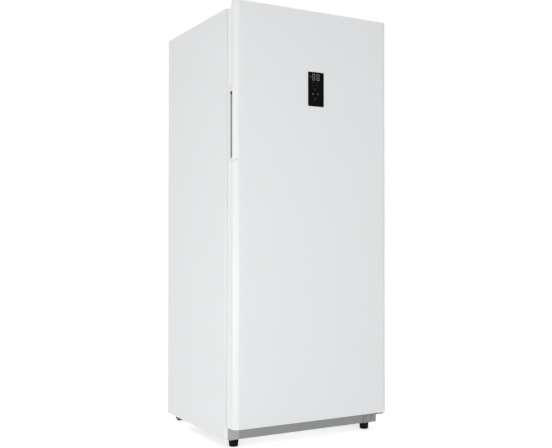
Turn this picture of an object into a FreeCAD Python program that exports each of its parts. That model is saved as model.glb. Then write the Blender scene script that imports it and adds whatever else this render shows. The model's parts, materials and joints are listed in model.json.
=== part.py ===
import FreeCAD, Part
import math
import os
import Sketcher
from FreeCAD import Placement, Rotation, Vector
from types import SimpleNamespace

# An upright freezer with one full-height door, hinged at its right and opened by a finger slot in its
# left edge. X runs to the right, Y to the back and Z up. The origin is on the floor, under the middle
# of the whole freezer.

SIZES = {
    "whole": {
        "overall_width": 600,
        "door_depth": 54,
        "gasket_gap": 11,
        "cabinet_depth": 502,
        "base_gap": 25,
        "cabinet_height": 1404.5,
        "door_above_base": 45.5,
        "door_over_top": 15.5,
        "touch_gap": 0.3,
        "running_gap": 0.05,
        "overshoot": 2,
    },
    "cabinet shell": {
        "steel_gauge": 0.8,
        "side_flange": 49,
        "side_corner": 9,
        "rear_flange": 15,
        "rail_gauge": 1.5,
        "rail_height": 94.5,
        "rail_lip": 30,
        "base_frame_height": 41.5,
        "side_wall": 58,
        "top_wall": 58,
        "back_wall": 56,
        "floor_height": 98.5,
        "machine_depth": 190,
        "machine_height": 256.5,
        "step_slant": 50,
        "step_wall": 50,
        "liner_wall": 1.5,
    },
    "shelves and drawers": {
        "shelf_glass": 4,
        "shelf_side_gap": 3,
        "shelf_front": 120,
        "shelf_rear_gap": 2,
        "upper_space": 205,
        "top_space": 190,
        "ledge_reach": 10,
        "ledge_height": 6,
        "trim_depth": 8,
        "trim_below": 4,
        "trim_above": 1,
        "drawer_side_gap": 16,
        "drawer_face_gap": 6,
        "drawer_top_gap": 23,
        "drawer_wall": 2.5,
        "drawer_face": 12,
        "drawer_flange": 12,
        "flange_thick": 3,
        "flange_drop": 15,
        "runner_reach": 11,
        "runner_height": 6,
        "lower_drawer_front": 40.5,
        "lower_drawer_back_gap": 7,
        "upper_drawer_front": 118.5,
        "upper_drawer_back_gap": 9.5,
        "drawer_lift": 3,
        "grip_height": 22,
        "grip_depth": 7,
        "grip_half_width": 70,
    },
    "door": {
        "door_corner": 20,
        "skin_gauge": 1,
        "skin_depth": 26,
        "lip_height": 19.5,
        "cap_rim": 2,
        "cap_height": 30,
        "cap_wall": 3,
        "cap_cells": 6,
        "strip_wall": 2.5,
        "strip_return": 38,
        "gasket_inset": 21,
        "gasket_free_inset": 8,
        "gasket_width": 15,
        "gasket_end_inset": 8,
        "magnet_width": 8,
        "magnet_thick": 3,
        "magnet_cover": 1.2,
        "dyke_side": 70,
        "dyke_low": 67,
        "dyke_high": 68,
        "dyke_depth": 41,
        "dyke_thick": 14,
        "hinge_recess_front": 8,
        "hinge_recess_width": 65,
        "bin_side_gap": 4,
        "bin_depth": 104,
        "bin_height": 95,
        "bin_wall": 2.5,
        "bin_first": 366.5,
        "bin_last": 284,
        "bin_rear_gap": 2,
        "ear_reach": 3,
        "ear_thick": 4,
        "ear_drop": 30,
        "lug_height": 8,
        "lug_gap": 0.6,
        "lug_start": 8,
        "lug_length": 30,
    },
    "handle": {
        "handle_below_top": 398.5,
        "handle_height": 246,
        "handle_front": 2,
        "handle_end_drop": 10,
        "handle_depth": 38,
        "slot_front": 20,
        "slot_width": 15.5,
        "slot_height": 216,
        "slot_mouth": 10,
        "slot_slant": 3,
        "pocket_front": 10,
        "pocket_wall": 4,
    },
    "display": {
        "display_offset": 4.8,
        "display_below_top": 263.2,
        "display_width": 62.5,
        "display_height": 116,
        "display_glass_thick": 2,
        "display_seam": 0.2,
        "housing_depth": 22,
        "housing_wall": 2,
        "housing_inset": 1.5,
        "board_thick": 1.6,
        "board_back": 10,
        "lamp_block_width": 36,
        "lamp_block_height": 30,
        "lamp_block_drop": 10,
    },
    "hinges": {
        "hinge_side": 20,
        "hinge_behind_front": 28,
        "pin_radius": 4,
        "pin_depth": 22,
        "bush_radius": 7,
        "bush_flange_radius": 10,
        "bush_flange": 1.5,
        "bush_length": 26,
        "bracket_gauge": 3,
        "bracket_nose": 12,
        "arm_right": 4,
        "arm_left": 34,
        "arm_length": 100,
        "foot_plate_left": 36,
        "foot_plate_right": 16,
        "door_rise": 6,
        "cover_wall": 2,
        "cover_height": 14,
        "cover_margin": 6,
        "screw_radius": 2.5,
        "screw_head_radius": 5,
        "screw_head": 2.5,
        "screw_length": 12,
        "screw_pitch": 24,
    },
    "feet and rollers": {
        "foot_side": 40,
        "foot_behind_face": 20,
        "foot_top_radius": 16.6,
        "foot_base_radius": 14.8,
        "foot_round": 3,
        "stud_radius": 5,
        "stud_height": 59.5,
        "nut_radius": 9,
        "nut_height": 8,
        "stud_hole_gap": 0.5,
        "roller_side": 36,
        "roller_from_rear": 44,
        "roller_radius": 12,
        "roller_width": 26,
        "roller_round": 2,
        "roller_end_gap": 0.3,
        "axle_radius": 3,
        "ear_gauge": 1.5,
        "bracket_half_length": 14,
        "ear_foot": 6,
    },
    "machine room": {
        "plate_gauge": 2,
        "plate_overlap": 25,
        "compressor_side": 230,
        "compressor_y": 95,
        "compressor_radius": 70,
        "compressor_low": 15,
        "compressor_height": 160,
        "compressor_dome": 30,
        "mount_plate": 2,
        "mount_half_x": 95,
        "mount_half_y": 60,
        "grommet_radius": 12,
        "grommet_inset": 14,
        "relay_width": 35,
        "relay_height": 70,
        "relay_rise": 60,
        "relay_half_depth": 25,
        "stub_radius": 5,
        "stub_reach": 80,
        "stub_offset": 20,
        "discharge_rise": 55,
        "suction_rise": 110,
        "tube_radius": 3,
        "tube_bend": 12,
        "discharge_run": 20,
        "suction_run": 45,
        "drier_offset": 130,
        "drier_y": 75,
        "drier_radius": 9,
        "drier_low": 85,
        "drier_length": 90,
        "capillary_radius": 1.5,
        "capillary_loop": 25,
        "capillary_drop": 20,
        "pan_left": 60,
        "pan_right_gap": 15,
        "pan_front": 15,
        "pan_depth": 160,
        "pan_height": 38,
        "pan_wall": 2,
        "drain_y": 90,
        "drain_radius": 7,
        "drain_bore": 5,
        "drain_clear": 10,
        "control_width": 60,
        "control_depth": 110,
        "control_height": 120,
        "control_rise": 95,
        "control_front": 65,
        "control_wall": 2,
        "control_board_back": 30,
        "cover_foot": 10,
        "slot_rows": 9,
        "slot_row_pitch": 22,
        "slot_row_first": 40,
        "vent_height": 6,
        "vent_side": 75,
        "vent_gap": 30,
        "inlet_side": 40,
        "inlet_rise": 20,
        "inlet_radius": 9,
        "inlet_flange_radius": 13,
        "inlet_flange": 3,
        "inlet_bore": 4,
        "condenser_recess": 6,
        "condenser_front": 60,
        "condenser_rear": 70,
        "condenser_rise": 296.5,
        "condenser_drop": 108,
        "condenser_passes": 6,
        "condenser_bend": 25,
        "condenser_radius": 2.4,
    },
    "cold air": {
        "duct_depth": 62,
        "duct_wall": 2.5,
        "duct_side_gap": 2,
        "grille_height": 14,
        "grille_gap": 40,
        "grille_first": 25,
        "grille_rows": 5,
        "fin_side": 72,
        "fin_depth": 46,
        "fin_low": 30,
        "fin_height": 190,
        "fin_pitch": 10,
        "fin_gauge": 0.8,
        "coil_rows": 5,
        "coil_radius": 4,
        "coil_inset": 18,
        "coil_overhang": 8,
        "heater_rise": 15,
        "heater_radius": 5,
        "heater_inset": 20,
        "heater_clip": 12,
        "fan_rise": 310,
        "fan_radius": 48,
        "hub_radius": 18,
        "hub_depth": 12,
        "fan_blades": 5,
        "blade_thick": 2,
        "blade_pitch": 30,
        "shaft_radius": 3,
        "shaft_reach": 14,
        "motor_radius": 20,
        "motor_depth": 20,
        "motor_gap": 3,
        "shroud_half": 70,
        "shroud_thick": 2.5,
        "shroud_clear": 4,
        "post_radius": 4,
        "lamp_half_width": 60,
        "lamp_depth": 40,
        "lamp_height": 10,
        "lamp_wall": 1.5,
        "lamp_behind_face": 130,
        "light_board": 1.6,
    },
}

doc = FreeCAD.newDocument("UprightFreezer")
sheet = doc.addObject("Spreadsheet::Sheet", "Dims")


class Size:
    """A length written as an expression on the sheet, so that whatever is made of it stays bound to it."""

    def __init__(self, text):
        self.text = text

    def _with(self, sign, other, swap=False):
        texts = [self.text, other.text if isinstance(other, Size) else repr(other)]
        if swap:
            texts.reverse()
        return Size(f"({texts[0]} {sign} {texts[1]})")

    def __add__(self, other):
        return self._with("+", other)

    def __radd__(self, other):
        return self._with("+", other, swap=True)

    def __sub__(self, other):
        return self._with("-", other)

    def __rsub__(self, other):
        return self._with("-", other, swap=True)

    def __mul__(self, other):
        return self._with("*", other)

    def __rmul__(self, other):
        return self._with("*", other, swap=True)

    def __truediv__(self, other):
        return self._with("/", other)

    def __neg__(self):
        return Size(f"(0 - {self.text})")

    @property
    def mm(self):
        return float(sheet.evalExpression(self.text))


def fill_sheet():
    """Write the sizes in two columns, the name and the value, and give each value its name as alias."""
    row = 1
    named = {}
    for group, sizes in SIZES.items():
        sheet.set(f"A{row}", group)
        row += 1
        for alias, value in sizes.items():
            sheet.set(f"A{row}", alias)
            sheet.set(f"B{row}", str(value))
            sheet.setAlias(f"B{row}", alias)
            named[alias] = Size(f"Dims.{alias}")
            row += 1
    doc.recompute()
    return SimpleNamespace(**named)


d = fill_sheet()
ZERO = Size("0")
PARTS = []


# ---- ways of making a piece ------------------------------------------------------------------------


def part(shape, label):
    """Give an object the name of the physical piece that it is, and keep it for the parts folder."""
    shape.Label = label
    PARTS.append(shape)
    return shape


def block(name, x, y, z):
    """A box from its (low, high) planes along X, Y and Z."""
    box = doc.addObject("Part::Box", name)
    for side, way, (low, high) in zip(("Length", "Width", "Height"), "xyz", (x, y, z)):
        box.setExpression(side, (high - low).text)
        box.setExpression(f"Placement.Base.{way}", low.text)
    return box


def rod(name, way, centre, radius, low, high):
    """A cylinder along X, Y or Z, from low to high; centre gives its two other coordinates, in order."""
    cylinder = doc.addObject("Part::Cylinder", name)
    turn = {"x": Rotation(Vector(0, 1, 0), 90), "y": Rotation(Vector(1, 0, 0), -90), "z": Rotation()}
    cylinder.Placement = Placement(Vector(), turn[way])
    places = dict(zip((w for w in "xyz" if w != way), centre))
    places[way] = low
    for w, place in places.items():
        cylinder.setExpression(f"Placement.Base.{w}", place.text)
    cylinder.setExpression("Radius", radius.text)
    cylinder.setExpression("Height", (high - low).text)
    return cylinder


def joined(name, *pieces):
    """One solid from pieces that touch or overlap."""
    whole = doc.addObject("Part::MultiFuse", name)
    whole.Shapes = list(pieces)
    whole.Refine = True
    return whole


def batch(name, *pieces):
    """Several separate solids kept together."""
    several = doc.addObject("Part::Compound", name)
    several.Links = list(pieces)
    return several


def less(name, body, *tools):
    """A body with every tool's space taken away."""
    for tool in tools:
        cut = doc.addObject("Part::Cut", f"{name}_without_{tool.Name}")
        cut.Base = body
        cut.Tool = tool
        cut.Refine = True
        body = cut
    return body


def shared(name, one, other):
    """The space that two solids share."""
    common = doc.addObject("Part::Common", name)
    common.Base = one
    common.Tool = other
    return common


def polygon(body, role, points, offset):
    """A closed sketch on one of a body's own planes, each corner bound to two sizes of the sheet."""
    sketch = body.newObject("Sketcher::SketchObject", f"{body.Name}_outline")
    support = next(plane for plane in body.Origin.OriginFeatures if plane.Role == role)
    sketch.AttachmentSupport = [(support, "")]
    sketch.MapMode = "FlatFace"
    sketch.setExpression("AttachmentOffset.Base.z", offset.text)
    corners = [Vector(across.mm, up.mm, 0) for across, up in points]
    for start, end in zip(corners, corners[1:] + corners[:1]):
        sketch.addGeometry(Part.LineSegment(start, end))
    count = len(corners)
    for i in range(count):
        sketch.addConstraint(Sketcher.Constraint("Coincident", i, 2, (i + 1) % count, 1))
    for i, (corner, place) in enumerate(zip(corners, points)):
        for kind, now, size in zip(("DistanceX", "DistanceY"), corner, place):
            index = sketch.addConstraint(Sketcher.Constraint(kind, -1, 1, i, 1, now))
            sketch.setExpression(f"Constraints[{index}]", size.text)
    return sketch


def prism(name, role, points, low, high):
    """A body padded from an outline on XY, XZ or YZ, between two planes along the third direction."""
    body = doc.addObject("PartDesign::Body", name)
    start = -high if role == "XZ_Plane" else low
    sketch = polygon(body, role, points, start)
    pad = body.newObject("PartDesign::Pad", f"{name}_pad")
    pad.Profile = sketch
    pad.setExpression("Length", (high - low).text)
    return body


def rectangle(x, y):
    """The four corners between two (low, high) pairs."""
    return [(x[0], y[0]), (x[1], y[0]), (x[1], y[1]), (x[0], y[1])]


def edges_where(shape, test):
    """The names of the edges whose middle point and length pass a test."""
    names = []
    for i, edge in enumerate(shape.Edges, 1):
        if test(edge.BoundBox):
            names.append(f"Edge{i}")
    return names


def rounded(name, x, y, z, radius):
    """A box whose two upright front edges are rounded."""
    body = prism(name, "XY_Plane", rectangle(x, y), z[0], z[1])
    doc.recompute()
    front_y = y[0].mm
    tall = (z[1] - z[0]).mm
    pad = body.Tip
    chosen = edges_where(
        pad.Shape, lambda box: abs(box.ZLength - tall) < 1e-6 and abs(box.YMax - front_y) < 1e-6
    )
    fillet = body.newObject("PartDesign::Fillet", f"{name}_round")
    fillet.Base = (pad, chosen)
    fillet.setExpression("Radius", radius.text)
    return body


def bent(body, x, y, radius):
    """Round the upright edge of a padded body that stands at one place."""
    doc.recompute()
    tip = body.Tip
    stands = edges_where(tip.Shape, lambda box: box.XLength + box.YLength < 1e-6
                         and abs(box.XMin - x.mm) < 1e-6 and abs(box.YMin - y.mm) < 1e-6)
    fillet = body.newObject("PartDesign::Fillet", f"{tip.Name}_bend")
    fillet.Base = (tip, stands)
    fillet.setExpression("Radius", radius.text)
    return body


def turned(name, profile, place, around="V_Axis"):
    """A body turned about the upright line through place; the profile gives (radius, height) pairs."""
    body = doc.addObject("PartDesign::Body", name)
    sketch = polygon(body, "XZ_Plane", profile, ZERO)
    turn = body.newObject("PartDesign::Revolution", f"{name}_turn")
    turn.Profile = sketch
    turn.ReferenceAxis = (sketch, [around])
    for way, size in zip("xyz", place):
        body.setExpression(f"Placement.Base.{way}", size.text)
    return body


def rounded_rim(body, height, radius):
    """Round the circular edges of a turned body that lie at one height."""
    doc.recompute()
    level = height.mm
    base = body.Tip
    rims = edges_where(base.Shape, lambda box: box.ZLength < 1e-6 and abs(box.ZMin - level) < 1e-6)
    fillet = body.newObject("PartDesign::Fillet", f"{body.Name}_rim")
    fillet.Base = (base, rims)
    fillet.setExpression("Radius", radius.text)
    return body


def tube(name, points, radius, bend):
    """A round bar along straight runs joined by tangent arcs of one bend radius."""
    stops = [Vector(*(size.mm for size in point)) for point in points]
    edges = []
    start = stops[0]
    for before, corner, after in zip(stops, stops[1:], stops[2:]):
        back = (before - corner).normalize()
        ahead = (after - corner).normalize()
        half_turn = (math.pi - back.getAngle(ahead)) / 2
        reach = bend.mm * math.tan(half_turn)
        middle = (back + ahead).normalize() * (bend.mm / math.cos(half_turn) - bend.mm)
        arc_start = corner + back * reach
        arc_end = corner + ahead * reach
        edges.append(Part.LineSegment(start, arc_start).toShape())
        edges.append(Part.Arc(arc_start, corner + middle, arc_end).toShape())
        start = arc_end
    edges.append(Part.LineSegment(start, stops[-1]).toShape())
    ring = Part.Wire(Part.makeCircle(radius.mm, stops[0], stops[1] - stops[0]))
    feature = doc.addObject("Part::Feature", name)
    feature.Shape = Part.Wire(edges).makePipeShell([ring], True, False)
    return feature


def copies(name, first, count, step):
    """Several separate copies of one shape, each a step further than the last."""
    doc.recompute()
    feature = doc.addObject("Part::Feature", name)
    feature.Shape = Part.makeCompound([first.Shape.translated(step * i) for i in range(count)])
    return feature


def both_sides(low, high):
    """The same stretch along X at the left and at the right of the middle, as (low, high) pairs."""
    return (("left", (-high, -low)), ("right", (low, high)))


# ---- the main planes -------------------------------------------------------------------------------

half = d.overall_width / 2
front = -(d.door_depth + d.gasket_gap + d.cabinet_depth) / 2
door_rear = front + d.door_depth
face = door_rear + d.gasket_gap
rear = face + d.cabinet_depth
base = d.base_gap
top = base + d.cabinet_height
door_low = base + d.door_above_base
door_top = top + d.door_over_top
shoulder = door_top - d.lip_height

flange_half = half - d.side_flange
sheet_half = half - d.steel_gauge
inside_half = half - d.side_wall
floor = base + d.floor_height
ceiling = top - d.top_wall
liner_rear = rear - d.back_wall
rail_top = base + d.rail_height
pan_level = base + d.base_frame_height
step_front = rear - d.machine_depth
step_top = base + d.machine_height
inner_step_front = step_front - d.step_wall
inner_step_top = step_top + d.step_wall
duct_front = liner_rear - d.duct_depth
second_shelf = inner_step_top + d.upper_space
shelf_pitch = (ceiling - d.top_space - second_shelf) / 3
compressor_x = half - d.compressor_side
pan_ends = (d.pan_left - half, compressor_x - d.mount_half_x - d.pan_right_gap)
drain_x = (pan_ends[0] + pan_ends[1]) / 2
hinge_x = half - d.hinge_side
hinge_y = front + d.hinge_behind_front
whole_width = (-half, half)
handle_z = door_top - d.handle_below_top
display_z = door_top - d.display_below_top


# ---- the cabinet's shell ---------------------------------------------------------------------------


def side_panel(side, out):
    """A steel side with a front flange that the door's gasket closes on, and a flange at the back."""
    outer = half * out
    inner = sheet_half * out
    outline = [
        (outer, face),
        (outer, rear),
        ((half - d.rear_flange) * out, rear),
        ((half - d.rear_flange) * out, rear - d.steel_gauge),
        (inner, rear - d.steel_gauge),
        (inner, face + d.steel_gauge),
        (flange_half * out, face + d.steel_gauge),
        (flange_half * out, face),
    ]
    sheet_metal = prism(f"side_{side}", "XY_Plane", outline, base, top)
    sheet_metal = bent(sheet_metal, outer, face, d.side_corner)
    sheet_metal = bent(sheet_metal, inner, face + d.steel_gauge, d.side_corner - d.steel_gauge)
    if side == "right":
        sheet_metal = less("side_drilled", sheet_metal, lower_screw_spaces("side_screw"))
    return part(sheet_metal, f"side_panel_{side}")


def outside_corners(name, plane):
    """What lies outside the rounded upright front corners, for pieces that fit inside both side panels;
    plane is the pieces' own front."""
    r = d.side_corner
    tools = []
    for side, x in both_sides(sheet_half - r, sheet_half + d.overshoot):
        out = -1 if side == "left" else 1
        high = (base - d.overshoot, top + d.overshoot)
        square = block(f"{name}_square_{side}", x, (plane - d.overshoot, plane + r), high)
        turn = rod(f"{name}_turn_{side}", "z", ((sheet_half - r) * out, plane + r), r, *high)
        tools.append(less(f"{name}_{side}", square, turn))
    return tools


def top_panel():
    plate = block("top_plate", (-sheet_half, sheet_half), (face + d.steel_gauge, rear - d.steel_gauge),
                  (top - d.steel_gauge, top))
    flange = block("top_flange", (-flange_half, flange_half), (face, face + d.steel_gauge),
                   (top - d.side_flange, top))
    corners = outside_corners("top_corner", face + d.steel_gauge)
    sheet_metal = less("top_sheet", joined("top_plate_and_flange", plate, flange), *corners)
    return part(less("top_drilled", sheet_metal, upper_screw_spaces("top_screw")), "top_panel")


def back_panel():
    panel = block("back_sheet", (d.rear_flange - half, half - d.rear_flange),
                  (rear - d.steel_gauge, rear), (step_top, top))
    return part(panel, "back_panel")


def step_line(height, depth, slant_top):
    """The bent line of floor, step and machine room roof, as (y, z) pairs from the front to the slant."""
    return [(depth, height), (depth, slant_top - d.step_slant), (depth + d.step_slant, slant_top)]


def base_step_panel():
    """The bent sheet under the insulation: the freezer's floor, the step and the machine room's roof."""
    start = face + d.rail_gauge
    end = rear - d.steel_gauge
    above = [(start, pan_level)] + step_line(pan_level, step_front, step_top) + [(end, step_top)]
    gauge = d.steel_gauge
    below = [
        (end, step_top - gauge),
        (step_front + d.step_slant, step_top - gauge),
        (step_front + gauge, step_top - d.step_slant),
        (step_front + gauge, pan_level - gauge),
        (start, pan_level - gauge),
    ]
    sheet_metal = prism("step_sheet", "YZ_Plane", above + below, -sheet_half, sheet_half)
    corners = outside_corners("step_corner", start)
    return part(less("base_step", sheet_metal, drain_hole("step_drain"), *corners), "base_step_panel")


def cavity(name, wall, front_plane, half_width):
    """The cold room's space, with its step over the machine room, grown by a wall on every closed side."""
    outline = [
        (front_plane, floor - wall),
        (inner_step_front + wall, floor - wall),
        (inner_step_front + wall, inner_step_top - d.step_slant),
        (inner_step_front + d.step_slant, inner_step_top - wall),
        (liner_rear + wall, inner_step_top - wall),
        (liner_rear + wall, ceiling + wall),
        (front_plane, ceiling + wall),
    ]
    return prism(name, "YZ_Plane", outline, -half_width, half_width)


def drain_hole(name):
    """The upright hole that the defrost water's tube passes through."""
    return rod(name, "z", (drain_x, step_front + d.drain_y), d.drain_radius, base, inner_step_top)


def insulation():
    """The foam between the steel shell and the liner, with a shallow recess for each condenser coil."""
    outline = [(face + d.liner_wall, pan_level)]
    outline += step_line(pan_level, step_front, step_top)
    outline += [
        (rear - d.steel_gauge, step_top),
        (rear - d.steel_gauge, top - d.steel_gauge),
        (face + d.liner_wall, top - d.steel_gauge),
    ]
    filling = prism("foam_block", "YZ_Plane", outline, -sheet_half, sheet_half)
    room = cavity("foam_room", d.liner_wall, face, inside_half + d.liner_wall)
    recesses = [
        block(f"coil_recess_{side}", x, (face + d.condenser_front, rear - d.condenser_rear),
              (base + d.condenser_rise, top - d.condenser_drop))
        for side, x in both_sides(sheet_half - d.condenser_recess, sheet_half)
    ]
    hole = drain_hole("foam_drain")
    screws = upper_screw_spaces("foam_screw")
    corners = outside_corners("foam_corner", face + d.liner_wall)
    return part(less("foam", filling, room, *recesses, hole, screws, *corners), "foam_insulation")


def shelf_levels():
    """The underside of each glass shelf: the first lies on the step, the others are evenly spaced."""
    levels = [inner_step_top]
    levels += [second_shelf + shelf_pitch * i for i in range(4)]
    return levels


def inner_liner():
    """The moulded liner of the cold room, with its front flange and the ledges that carry the shelves."""
    shell = cavity("liner_outside", d.liner_wall, face, inside_half + d.liner_wall)
    flange = block("liner_flange", (-flange_half, flange_half), (face, face + d.liner_wall),
                   (rail_top, top - d.side_flange))
    room = cavity("liner_room", ZERO, face - d.overshoot, inside_half)
    shell = less("liner_shell", joined("liner_whole", shell, flange), room, drain_hole("liner_drain"))
    ledges = []
    for number, level in enumerate(shelf_levels(), 1):
        end = inner_step_front if number == 1 else duct_front
        for side, x in both_sides(inside_half - d.ledge_reach, inside_half):
            ledges.append(block(f"ledge_{side}_{number}", x, (face + d.shelf_front, end),
                                (level - d.ledge_height, level)))
    return part(joined("liner", shell, *ledges), "inner_liner")


def front_rail():
    """The steel rail across the foot of the cabinet, with its lip turned back underneath."""
    outline = [
        (face, base),
        (face + d.rail_lip, base),
        (face + d.rail_lip, base + d.rail_gauge),
        (face + d.rail_gauge, base + d.rail_gauge),
        (face + d.rail_gauge, rail_top),
        (face, rail_top),
    ]
    return part(prism("rail", "YZ_Plane", outline, -flange_half, flange_half), "front_rail")


def angle_rails():
    """The two angle rails under the sides, each with the welded nut of its levelling foot."""
    rails = []
    corners = outside_corners("rail_corner", face + d.steel_gauge)
    for (side, out), corner in zip((("left", -1), ("right", 1)), corners):
        outline = [
            (sheet_half * out, base),
            (flange_half * out, base),
            (flange_half * out, base + d.rail_gauge),
            ((sheet_half - d.rail_gauge) * out, base + d.rail_gauge),
            ((sheet_half - d.rail_gauge) * out, pan_level - d.steel_gauge),
            (sheet_half * out, pan_level - d.steel_gauge),
        ]
        angle = prism(f"angle_{side}", "XZ_Plane", outline, face + d.steel_gauge,
                      step_front + d.plate_overlap)
        centre = foot_centre(out)
        nut_top = base + d.rail_gauge + d.nut_height
        nut = rod(f"nut_{side}", "z", centre, d.nut_radius, base + d.rail_gauge, nut_top)
        bore = rod(f"nut_bore_{side}", "z", centre, d.stud_radius + d.running_gap, base, nut_top)
        hole = rod(f"rail_hole_{side}", "z", centre, d.stud_radius + d.stud_hole_gap, base,
                   base + d.rail_gauge)
        rails.append(less(f"base_rail_{side}", joined(f"rail_and_nut_{side}", angle, nut), bore, hole,
                          corner))
    return rails


# ---- feet and rollers ------------------------------------------------------------------------------


def foot_centre(out):
    return (half - d.foot_side) * out, face + d.foot_behind_face


def levelling_foot(side, out):
    """A tapered foot moulded on a stud that screws into the rail's nut."""
    pad_top = base - d.touch_gap
    profile = [
        (ZERO, ZERO),
        (d.foot_base_radius, ZERO),
        (d.foot_top_radius, pad_top),
        (d.stud_radius, pad_top),
        (d.stud_radius, d.stud_height),
        (ZERO, d.stud_height),
    ]
    x, y = foot_centre(out)
    foot = rounded_rim(turned(f"foot_{side}", profile, (x, y, ZERO)), ZERO, d.foot_round)
    return part(foot, f"levelling_foot_{side}")


def roller_centre(out):
    return (half - d.roller_side) * out, rear - d.roller_from_rear, d.roller_radius


def rear_roller(side, out):
    """A plain wheel on a cross axle near the back."""
    x, y, z = roller_centre(out)
    wide = d.roller_width / 2
    wheel = rod(f"wheel_{side}", "x", (y, z), d.roller_radius, x - wide, x + wide)
    bore = rod(f"wheel_bore_{side}", "x", (y, z), d.axle_radius + d.running_gap, x - wide, x + wide)
    grooves = []
    for end, low, high in (("in", -wide, -wide + d.roller_round), ("out", wide - d.roller_round, wide)):
        hub = rod(f"wheel_hub_{side}_{end}", "x", (y, z), d.roller_radius / 2, x + low, x + high)
        disc = rod(f"wheel_disc_{side}_{end}", "x", (y, z), d.roller_radius - d.roller_round, x + low,
                   x + high)
        grooves.append(less(f"wheel_groove_{side}_{end}", disc, hub))
    return part(less(f"roller_{side}", wheel, bore, *grooves), f"rear_roller_{side}")


def roller_brackets():
    """Under each rear corner, a channel whose two ears carry the riveted axle of a roller."""
    brackets = []
    for side, out in (("left", -1), ("right", 1)):
        x, y, z = roller_centre(out)
        inner = d.roller_width / 2 + d.roller_end_gap
        outer = inner + d.ear_gauge
        along = (y - d.bracket_half_length, y + d.bracket_half_length)
        plate = block(f"roller_plate_{side}", (x - outer, x + outer), along, (base, base + d.ear_gauge))
        ears = [
            block(f"roller_ear_{side}_{end}", stretch, along, (d.ear_foot, base))
            for end, stretch in (("in", (x - outer, x - inner)), ("out", (x + inner, x + outer)))
        ]
        axle = rod(f"axle_{side}", "x", (y, z), d.axle_radius, x - outer, x + outer)
        brackets.append(joined(f"roller_bracket_{side}", plate, *ears, axle))
    return brackets


def base_frame():
    """The rails and the roller brackets, as one named set of four pieces."""
    return part(batch("frame_pieces", *angle_rails(), *roller_brackets()), "base_frame")


# ---- the door --------------------------------------------------------------------------------------


def display_box(name, inset, y):
    """The display's upright rectangle in the door's front, drawn in by an inset."""
    x = (d.display_offset - d.display_width / 2 + inset, d.display_offset + d.display_width / 2 - inset)
    z = (display_z - d.display_height / 2 + inset, display_z + d.display_height / 2 - inset)
    return block(name, x, y, z)


def handle_space(name, gap):
    """The outline of the handle's moulding in the door's left edge: upright, with two bowed ends."""
    wide = (door_rear - front - d.handle_front) / 2
    bow = (wide * wide + d.handle_end_drop * d.handle_end_drop) / (2 * d.handle_end_drop) + gap
    centre_y = door_rear - wide
    low = handle_z - d.handle_height / 2 - gap
    high = handle_z + d.handle_height / 2 + gap
    x = (-half - d.overshoot, d.handle_depth + gap - half)
    frame = block(f"{name}_frame", x, (front + d.handle_front - gap, door_rear + d.overshoot), (low, high))
    middle = block(f"{name}_middle", x, (centre_y - bow, centre_y + bow), (low + bow, high - bow))
    ends = [
        rod(f"{name}_end_{i}", "x", (centre_y, z), bow, x[0], x[1])
        for i, z in enumerate((low + bow, high - bow))
    ]
    return shared(name, frame, joined(f"{name}_pill", middle, *ends))


def door_skin():
    """The painted steel front, wrapped round both front corners and let in for the display and handle."""
    wrap = front + d.skin_depth
    z = (door_low + d.cap_rim, door_top - d.cap_rim)
    outside = rounded("skin_outside", whole_width, (front, wrap), z, d.door_corner)
    inside = rounded("skin_inside", (d.skin_gauge - half, half - d.skin_gauge),
                     (front + d.skin_gauge, wrap + d.overshoot),
                     (z[0] - d.overshoot, z[1] + d.overshoot), d.door_corner - d.skin_gauge)
    window = display_box("skin_window", -d.display_seam, (front - d.overshoot, wrap))
    recess = hinge_recess("skin_hinge_recess")
    return part(less("skin", outside, inside, window, handle_space("skin_handle", d.display_seam), recess),
                "door_skin")


def hinge_recess(name):
    """The corner cut out of the raised lip, where the upper hinge's arm comes in."""
    return block(name, (half - d.hinge_recess_width, half + d.overshoot),
                 (front + d.hinge_recess_front, front + d.skin_depth + d.overshoot),
                 (shoulder, door_top + d.overshoot))


def bush_space(name, low, high):
    return rod(name, "z", (hinge_x, hinge_y), d.bush_radius, low, high)


def cap(name, rim, body, tail, inner_edge, outward):
    """A moulded end cap: a rim under the skin's edge, a body inside it and a tail behind it, cored out."""
    edge = rounded(f"{name}_rim", whole_width, (front, front + d.skin_depth), rim, d.door_corner)
    core = rounded(f"{name}_body", (d.skin_gauge - half, half - d.skin_gauge),
                   (front + d.skin_gauge, front + d.skin_depth), body, d.door_corner - d.skin_gauge)
    back = block(f"{name}_tail", whole_width, (front + d.skin_depth, door_rear), tail)
    hollows = []
    first = d.door_corner + d.cap_wall - half
    last = hinge_x - d.bush_flange_radius - d.cap_wall
    pitch = (last - first) / d.cap_cells
    depth = d.cap_height - 2 * d.cap_wall
    z = (inner_edge, inner_edge + depth) if outward > 0 else (inner_edge - depth, inner_edge)
    for i in range(int(d.cap_cells.mm)):
        x = (first + pitch * i, first + pitch * (i + 1) - d.cap_wall)
        hollows.append(block(f"{name}_cell_{i}", x, (front + 2 * d.cap_wall, door_rear - d.cap_wall), z))
    return less(f"{name}_cored", joined(f"{name}_solid", edge, core, back), *hollows)


def door_top_cap():
    """The cap under the door's raised front lip; its lower shoulder passes under the upper hinge."""
    inner = shoulder - d.cap_height
    solid = cap("top_cap", (door_top - d.cap_rim, door_top), (inner, door_top - d.cap_rim),
                (inner, shoulder), inner, 1)
    hole = bush_space("top_cap_hole", inner, shoulder)
    return part(less("top_cap", solid, hinge_recess("top_cap_recess"), hole), "door_top_cap")


def door_bottom_cap():
    inner = door_low + d.cap_height
    solid = cap("bottom_cap", (door_low, door_low + d.cap_rim), (door_low + d.cap_rim, inner),
                (door_low, inner), inner, -1)
    hole = bush_space("bottom_cap_hole", door_low, inner)
    return part(less("bottom_cap", solid, hole), "door_bottom_cap")


foam_low = door_low + d.cap_height
foam_high = shoulder - d.cap_height


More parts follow.
